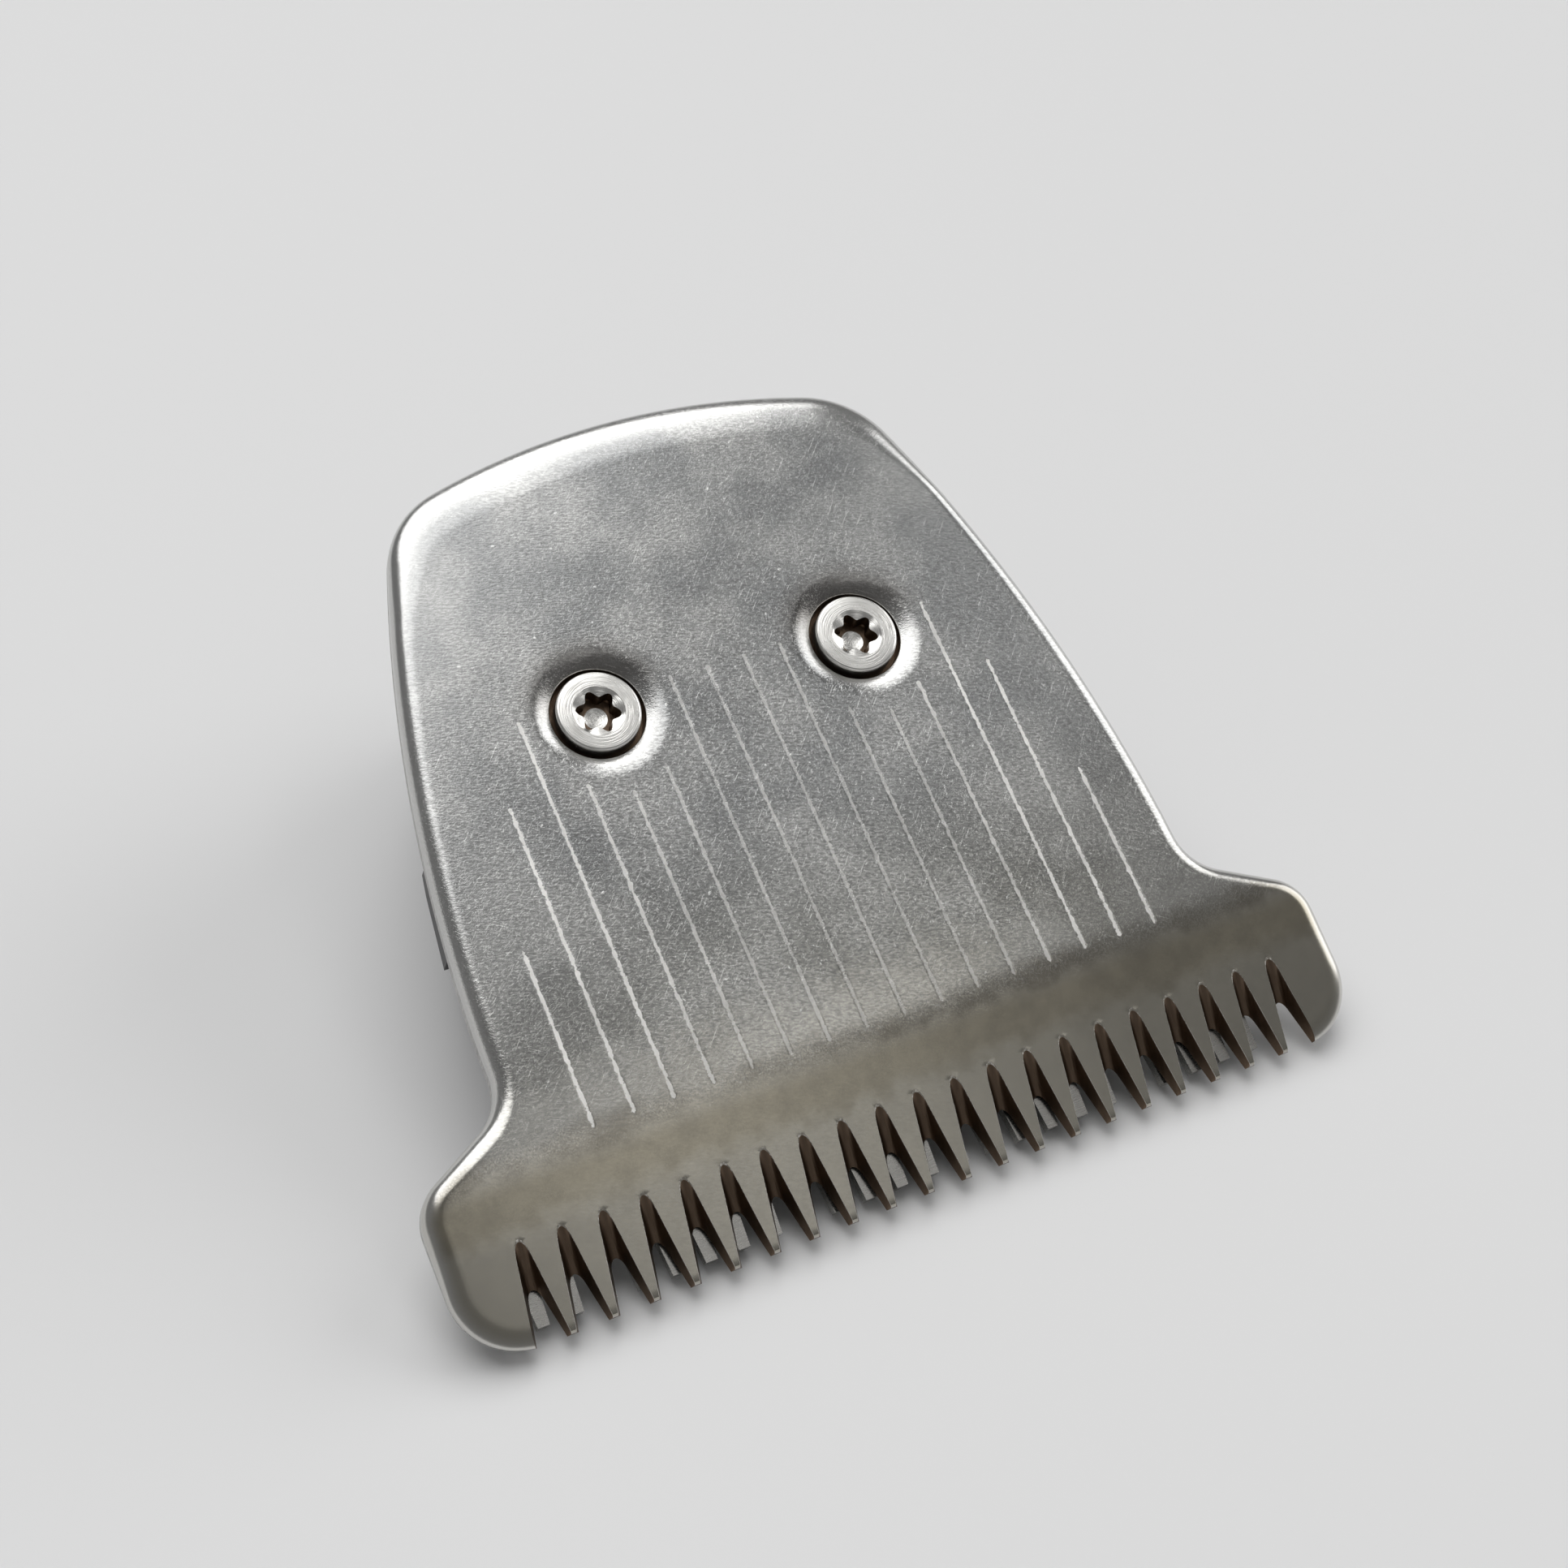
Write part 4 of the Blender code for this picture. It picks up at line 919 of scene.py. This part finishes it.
class Finish:
    """A Principled material with the patterns that the finishes of this head are made of.

    All patterns are placed in the blade frame, in millimetres.
    """

    def __init__(self, name, colour, roughness, metallic):
        self.material = bpy.data.materials.new(name)
        self.material.use_nodes = True
        self.tree = self.material.node_tree
        self.shader = self.tree.nodes["Principled BSDF"]
        plain = {"Base Color": (*colour, 1), "Roughness": roughness, "Metallic": metallic}
        for socket, value in plain.items():
            self.shader.inputs[socket].default_value = value
        place = BLADE.inverted()
        turn, shift = place.to_euler(), place.to_translation()
        coordinates = self.node("ShaderNodeTexCoord", output="Object")
        self.place = self.node("ShaderNodeMapping", {
            "Vector": coordinates, "Location": shift, "Rotation": turn, "Scale": (1 / MM,) * 3})

    def node(self, kind, inputs=None, output=0, **settings):
        """One node in this material."""
        return add_node(self.tree, kind, inputs, output, **settings)

    def stretched(self, scale, turn=0.0):
        """Blade-frame coordinates in millimetres, turned about Z and then scaled along each axis."""
        turned_place = self.node("ShaderNodeVectorRotate", {"Vector": self.place, "Angle": turn},
                                 rotation_type="Z_AXIS")
        return self.node("ShaderNodeVectorMath", {0: turned_place, 1: scale}, operation="MULTIPLY")

    def noise(self, scale, detail, where=None):
        """Soft random pattern with about scale spots to a millimetre."""
        return self.node("ShaderNodeTexNoise", {
            "Vector": where or self.place, "Scale": scale, "Detail": detail})

    def step(self, value, low, high):
        """0 below low, 1 above high, and a smooth rise between them."""
        return self.node("ShaderNodeMapRange", {"Value": value, "From Min": low, "From Max": high},
                         interpolation_type="SMOOTHSTEP")

    def axis(self, name):
        """Blade-frame coordinate along X, Y or Z."""
        return self.node("ShaderNodeSeparateXYZ", {"Vector": self.place}, name)

    def stored(self, name):
        """Value that the mesh stores for each corner."""
        return self.node("ShaderNodeAttribute", output="Fac", attribute_name=name)

    def mix(self, factor, first, second):
        """Colour between two colours."""
        wanted = {0: factor}
        for number, colour in ((6, first), (7, second)):
            wanted[number] = colour if isinstance(colour, Value) else (*colour, 1)
        return self.node("ShaderNodeMix", wanted, 2, data_type="RGBA")

    def strokes(self, turn, length, width, share):
        """Short lines in one direction: the peaks of noise stretched to a length and a width."""
        lines = self.noise(1.0, 1.0, self.stretched((1 / length, 1 / width, 1 / width), turn))
        return self.step(lines, STROKE_PEAK[0] - share, STROKE_PEAK[1] - share)

    def from_screw(self):
        """Offsets in x and y from the nearer screw's axis, x mirrored on the left, and the distance."""
        x = abs(self.axis("X")) - SCREW_X
        y = self.axis("Y") - SCREW_Y
        return x, y, (x * x + y * y) ** 0.5

    def done(self, colour, roughness, height, distance, strength):
        """The material, with patterns linked to its shader as colour, roughness and fine relief.

        The relief is height times a distance in millimetres, at a share of its full strength.
        """
        relief = {"Height": height, "Distance": distance * MM, "Strength": strength}
        normal = self.node("ShaderNodeBump", relief)
        for name, value in (("Base Color", colour), ("Roughness", roughness), ("Normal", normal)):
            self.tree.links.new(value.socket, self.shader.inputs[name])
        return self.material


def rear_colour(finish, x, y, cloud, by_bend):
    """Face behind the bend: light and dark clouds, warmer lower down, a painted sheen by the bend,
    strongest on the left, and paler towards the sides.
    """
    blotch = finish.step(cloud, 0.36, 0.64)
    rear = finish.mix(blotch, REAR_DARK, REAR_LIGHT)
    lower = finish.mix(blotch, LOWER_DARK, LOWER_LIGHT)
    colour = finish.mix(finish.step(y, 1.0, 12.0), lower, rear)
    # Painted sheen near the bend, strongest on the left and in the middle
    pale = by_bend * (0.75 - 0.55 * finish.step(x, 2.0, 9.0))
    colour = finish.mix(pale, colour, BEND_PAINTED_SHEEN)
    return finish.mix(finish.step(abs(x), 8.0, 15.5) * 0.3, colour, SIDE_PALE)


def strip_colour(finish, y, cloud, patch, fine):
    """Strip ahead of the bend: brownish clouds with darker patches, and a paler tooth facet, worn and with
    a painted sheen.
    """
    strip = finish.mix(cloud, STRIP_DARK, STRIP_LIGHT)
    strip = finish.mix(finish.step(patch + 0.6 * fine, 0.6, 1.05) * 0.35, strip, STRIP_PATCH)
    # The tooth facet is paler: worn ground steel, with a painted sheen
    facet = 1 - finish.step(y + 1.6 * (patch - 0.5), FACET_Y - 0.1, FACET_Y + 1.0)
    return finish.mix(facet * (0.25 + 0.6 * fine), strip, FACET_WORN_SHEEN)


def line_burr(finish, x, fine):
    """Engraved lines: the stored depth, made ragged by noise, worn fainter towards the middle."""
    depth = finish.stored("line")
    ragged = depth + 1.7 * (finish.noise(3.2, 3.0) - 0.5) + 0.9 * (fine - 0.5)
    burr = finish.step(ragged, 0.38, 0.62) * finish.step(depth, 0.02, 0.2)
    worn = 0.45 + 0.55 * finish.step(abs(x), 4.0, 11.5)
    return burr * worn * (0.35 + 1.1 * finish.noise(0.35, 2.0))


def satin_finish():
    """Blasted stainless steel: streaky grain, felted strokes and hair scratches; smooth ahead of the bend.

    The grain is noise stretched along the plate's width. Grime lies in a ragged line along the bend.
    Painted sheen lies by the bend, strongest on the left, and on the rim and dimple lips where the stored
    rim value is large; painted brown shade darkens each dimple lip behind its screw.
    """
    finish = Finish("satin_steel", (0.45, 0.45, 0.44), 0.34, 1.0)
    x, y = finish.axis("X"), finish.axis("Y")
    ahead = 1 - finish.step(y, -1.3, 0.6)
    grain = finish.noise(1.0, 2.0, finish.stretched((4.2, 11.0, 11.0), 0.31))
    fine = finish.noise(16.0, 2.0)
    cloud = finish.noise(0.2, 3.0)
    patch = finish.noise(0.9, 2.0)
    felt = finish.strokes(0.2, 0.30, 0.05, 0.10) + finish.strokes(1.0, 0.26, 0.05, 0.10)
    felt = felt + finish.strokes(1.8, 0.26, 0.05, 0.10) + finish.strokes(2.6, 0.30, 0.05, 0.10)
    scratch = finish.strokes(0.6, 1.4, 0.045, 0.04) + finish.strokes(2.3, 1.4, 0.045, 0.03)
    fleck = finish.step(finish.noise(2.6, 1.0), 0.74, 0.79)
    off_middle = finish.step(abs(x), 6.0, 14.0) + finish.step(y, 15.0, 24.0)
    by_bend = 1 - finish.step(y + 2.4 * (patch - 0.5), 0.6, 3.8)
    rough = (1 - 0.38 * off_middle) * (1 - 0.92 * ahead) * (1 - 0.45 * by_bend)
    marks = (felt * 0.45 + scratch * 0.8 + fleck) * rough
    rear = rear_colour(finish, x, y, cloud, by_bend)
    face = finish.mix(ahead, rear, strip_colour(finish, y, cloud, patch, fine))
    wavy = y + 1.2 * (patch - 0.5)
    grime = finish.step(wavy, -0.9, -0.2) * (1 - finish.step(wavy, 0.0, 0.9))
    face = finish.mix(grime * finish.step(cloud + 0.5 * fine, 0.55, 0.9) * 0.6, face, BEND_GRIME)
    pit = finish.step(grain, 0.36, 0.66) * (0.3 + 0.6 * patch) * rough
    face = finish.mix(pit, face, PIT_DARK)
    face = finish.mix(marks * 0.6, face, MARK_LIGHT)
    _, behind, radius = finish.from_screw()
    # Painted shade: brown on the rear half of each dimple lip, where the lip tips forward and reflects
    # little light
    screw_shade = (1 - finish.step(radius + 0.8 * cloud, 2.2, 4.4)) * finish.step(behind, -0.6, 1.8)
    face = finish.mix(screw_shade * 0.8, face, SCREW_PAINTED_SHADE)
    # Painted sheen on the rim and dimple lips, held back where the painted shade behind the screws lies
    rim = finish.stored("rim") * (1 - 0.8 * screw_shade)
    face = finish.mix(rim * 0.7, face, RIM_PAINTED_SHEEN)
    burr = line_burr(finish, x, fine)
    face = finish.mix(burr, face, BURR_LIGHT)
    roughness = 0.14 + 0.08 * grain + 0.05 * cloud + 0.02 * ahead + 0.2 * burr
    height = (grain * 0.6 + fine * 0.25) * rough + marks * 0.25 + burr * fine * 0.6
    return finish.done(face, roughness, height, 0.03, 0.45)


def cut_finish():
    """Fresh cuts: the broken edges of the teeth, slightly burred, dull brown, with painted glints that
    grow towards the tips.
    """
    finish = Finish("cut_edge_glints", (0.78, 0.77, 0.75), 0.5, 1.0)
    burr = finish.noise(9.0, 2.0)
    # Painted glints on the broken edges, strongest towards the tips; towards the slots' start the edges
    # stay dull brown
    low = 1 - finish.step(finish.axis("Y"), -5.0, -3.6)
    dull = finish.mix(burr, (0.20, 0.185, 0.155), (0.36, 0.34, 0.30))
    bright = finish.step(burr + 0.3 * low, 0.45, 0.75)
    colour = finish.mix(bright, dull, (0.66, 0.64, 0.60))
    return finish.done(colour, 0.42 + 0.25 * burr, burr, 0.04, 0.6)


def shaded_ground_finish():
    """Slots, dimple walls and screw recesses: stained dark brown steel with grinding marks along the
    slots; the dark brown is partly painted shade inside these hollows.
    """
    finish = Finish("ground_slot_shaded", (0.1, 0.075, 0.055), 0.36, 1.0)
    marks = finish.noise(1.0, 2.0, finish.stretched((22.0, 1.2, 1.2)))
    stain = finish.noise(1.1, 2.0)
    # Dark brown: stained steel, darkened further as painted shade inside the slots and recesses
    deep = finish.mix(stain, (0.095, 0.062, 0.040), (0.18, 0.125, 0.085))
    colour = finish.mix(marks * 0.35, deep, (0.22, 0.18, 0.145))
    return finish.done(colour, 0.28 + 0.14 * marks, marks, 0.02, 0.6)


def sheared_finish():
    """Punched edge: dark, with upright striations."""
    finish = Finish("sheared_edge", (0.3, 0.29, 0.28), 0.45, 1.0)
    lines = finish.noise(1.0, 2.0, finish.stretched((7.0, 7.0, 0.35)))
    colour = finish.mix(lines, (0.26, 0.255, 0.25), (0.70, 0.69, 0.67))
    return finish.done(colour, 0.34 + 0.2 * lines, lines, 0.05, 0.8)


def turned_finish():
    """Screw heads: arc-shaped turning marks about each screw's own axis."""
    finish = Finish("screw_steel", (0.68, 0.67, 0.64), 0.25, 1.0)
    x, y, radius = finish.from_screw()
    angle = y.math("ARCTAN2", y, x)
    arcs = finish.node("ShaderNodeCombineXYZ", {"X": radius * 16.0, "Y": angle * 1.3})
    marks = finish.noise(1.0, 2.0, arcs)
    cloud = finish.noise(1.3, 2.0)
    metal = finish.mix(cloud, (0.68, 0.67, 0.64), (0.84, 0.83, 0.80))
    dark = finish.step(marks, 0.5, 0.7) * 0.45
    colour = finish.mix(dark, metal, (0.36, 0.35, 0.33))
    return finish.done(colour, 0.20 + 0.18 * marks, marks, 0.03, 0.6)


def bright_finish(name, colour, turn, roughness=0.22):
    """Ground or drawn bright steel: fine parallel marks in one direction."""
    finish = Finish(name, colour, roughness, 1.0)
    marks = finish.noise(1.0, 3.0, finish.stretched((1.2, 16.0, 16.0), turn))
    cloud = finish.noise(0.8, 2.0)
    dull = tuple(c * 0.8 for c in colour)
    cloudy = finish.mix(cloud, dull, colour)
    return finish.done(cloudy, roughness - 0.05 + 0.14 * marks, marks, 0.012, 0.5)


def moulded_finish(name, colour, roughness):
    """Moulded plastic: fine spark-eroded grain with a faint unevenness of gloss."""
    finish = Finish(name, colour, roughness, 0.0)
    grain = finish.noise(7.0, 3.0)
    cloud = finish.noise(0.35, 2.0)
    light = tuple(min(1.0, c * 1.35 + 0.004) for c in colour)
    cloudy = finish.mix(cloud, colour, light)
    uneven = roughness - 0.06 + 0.12 * grain + 0.05 * cloud
    return finish.done(cloudy, uneven, grain, 0.02, 0.5)


# Pieces that keep their CAD shape

def dress(node, body, material, edge):
    """A CAD node's own shape as a merged copy, with edges rounded by edge millimetres."""
    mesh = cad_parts[node].data.copy()
    shape = bmesh.new()
    shape.from_mesh(mesh)
    bmesh.ops.remove_doubles(shape, verts=shape.verts, dist=CAD_WELD)
    bmesh.ops.dissolve_limit(shape, angle_limit=FLAT_ANGLE, verts=shape.verts, edges=shape.edges)
    shape.to_mesh(mesh)
    shape.free()
    mesh.materials.clear()
    mesh.shade_smooth()
    mesh.set_sharp_from_angle(angle=EDGE_ANGLE)
    obj = add_piece(f"{node}_finished", mesh, [material], body, [node])
    bevel = obj.modifiers.new("Edges", "BEVEL")
    bevel.width = edge * MM
    bevel.segments = BEVEL_SEGMENTS
    bevel.limit_method = "ANGLE"
    bevel.angle_limit = EDGE_ANGLE
    obj.modifiers.new("Flat faces", "WEIGHTED_NORMAL").keep_sharp = True


# Stage

def add_floor():
    """Pale square just below the head, as wide as the floor's reach to each side."""
    mesh = bpy.data.meshes.new("floor")
    corners = np.array([(-1, -1), (1, -1), (1, 1), (-1, 1)]) * FLOOR_REACH
    mesh.from_pydata([(*c, -FLOOR_DROP) for c in corners], [], [(0, 1, 2, 3)])
    mesh.materials.append(Finish("pale_floor", FLOOR_COLOUR, FLOOR_ROUGHNESS, 0.0).material)
    floor = add_object("floor", mesh)


def add_lamp(name, place, aim, size, power):
    """Soft lamp written at arm's length, in metres and watts, and set back so that it looks the same.

    Place and size grow with the reach, and the power with its square.
    """
    lamp = bpy.data.lights.new(name, "AREA")
    lamp.shape = "ELLIPSE"
    lamp.size, lamp.size_y = np.multiply(size, LAMP_REACH)
    lamp.energy = power * LAMP_REACH**2
    obj = add_object(name, lamp)
    obj.location = Vector(place) * LAMP_REACH
    obj.rotation_mode = "QUATERNION"
    obj.rotation_quaternion = (Vector(aim) - Vector(place)).to_track_quat("-Z", "Y")


def add_world():
    """Dim surroundings, with a pale band along the horizon that fades out upwards."""
    world = bpy.data.worlds.new("studio")
    world.use_nodes = True
    tree = world.node_tree
    way = add_node(tree, "ShaderNodeTexCoord", output="Generated")
    height = add_node(tree, "ShaderNodeSeparateXYZ", {"Vector": way}, "Z")
    level = add_node(tree, "ShaderNodeMapRange", {
        "Value": abs(height), "From Min": HORIZON_HEIGHT, "From Max": SKY_HEIGHT,
        "To Min": HORIZON_LEVEL, "To Max": SKY_LEVEL}, interpolation_type="SMOOTHSTEP")
    tree.links.new(level.socket, tree.nodes["Background"].inputs["Strength"])
    tree.nodes["Background"].inputs["Color"].default_value = (1, 1, 1, 1)
    bpy.context.scene.world = world


def add_lights():
    """The surroundings and five soft lamps: a large key behind and above, and smaller ones for edges."""
    add_world()
    add_lamp("key", (-0.02, 0.275, 0.54), (0, 0, 0), (0.66, 0.82), 2.6)
    add_lamp("fill", (0.21, -0.105, 0.53), (0, 0, 0), (0.26, 0.06), 0.04)
    add_lamp("rear", (0.20, 0.42, 0.42), (0, 0, 0.01), (0.32, 0.18), 0.30)
    add_lamp("front", (0.145, -0.26, 0.48), (0, 0, 0), (0.10, 0.26), 0.048)
    add_lamp("side", (0.53, 0.03, 0.26), (0, 0, 0.01), (0.44, 0.54), 1.25)


def add_camera():
    """Camera at the photograph's place, given in the blade frame and turned with it."""
    camera = bpy.data.cameras.new("camera")
    camera.sensor_width = SENSOR
    camera.lens = CAMERA_FOCAL_PX / PHOTO_PX * SENSOR
    camera.clip_start = CLIP_START
    camera.clip_end = CLIP_END
    obj = add_object("camera", camera)
    axes = Matrix([CAMERA_RIGHT, [-v for v in CAMERA_DOWN], [-v for v in CAMERA_AHEAD]]).transposed()
    turn = Matrix.Rotation(REST_TILT, 3, "X") @ axes
    obj.matrix_world = Matrix.Translation(BLADE @ Vector(CAMERA_PLACE)) @ turn.to_4x4()
    bpy.context.scene.camera = obj


def main():
    """Makes all pieces with their finishes, then the stage."""
    bpy.context.scene.view_settings.view_transform = "Standard"
    recess = shaded_ground_finish()
    rolled = bright_finish("rolled_steel", (0.46, 0.45, 0.43), 0.0, 0.32)
    make_plate([satin_finish(), cut_finish(), recess, sheared_finish(), rolled])
    bright = bright_finish("ground_steel", (0.66, 0.65, 0.63), 0.0)
    cutter_steel = bright_finish("cutter_steel", (0.43, 0.42, 0.395), 0.0, 0.26)
    screw_steel = turned_finish()
    wire = bright_finish("spring_steel", (0.45, 0.45, 0.46), math.pi / 2, 0.28)
    black = moulded_finish("black_plastic", (0.018, 0.018, 0.019), 0.42)
    grey = moulded_finish("grey_acetal", (0.16, 0.16, 0.17), 0.45)
    ivory = moulded_finish("ivory_acetal", (0.80, 0.78, 0.71), 0.40)
    for side, x in (("left", -SCREW_X), ("right", SCREW_X)):
        make_screw(side, x, [screw_steel, recess])
        make_rivet(side, math.copysign(RIVET_X, x), bright)
    make_pin(wire)
    make_spring(wire)
    dress("cutter_blade", "cutter", cutter_steel, 0.025)
    dress("cutter_carrier", "cutter", ivory, 0.12)
    dress("blade_guide", "head", grey, 0.08)
    dress("head_frame", "head", black, 0.12)
    dress("coupling_base", "head", black, 0.15)
    add_floor()
    add_lights()
    add_camera()


main()
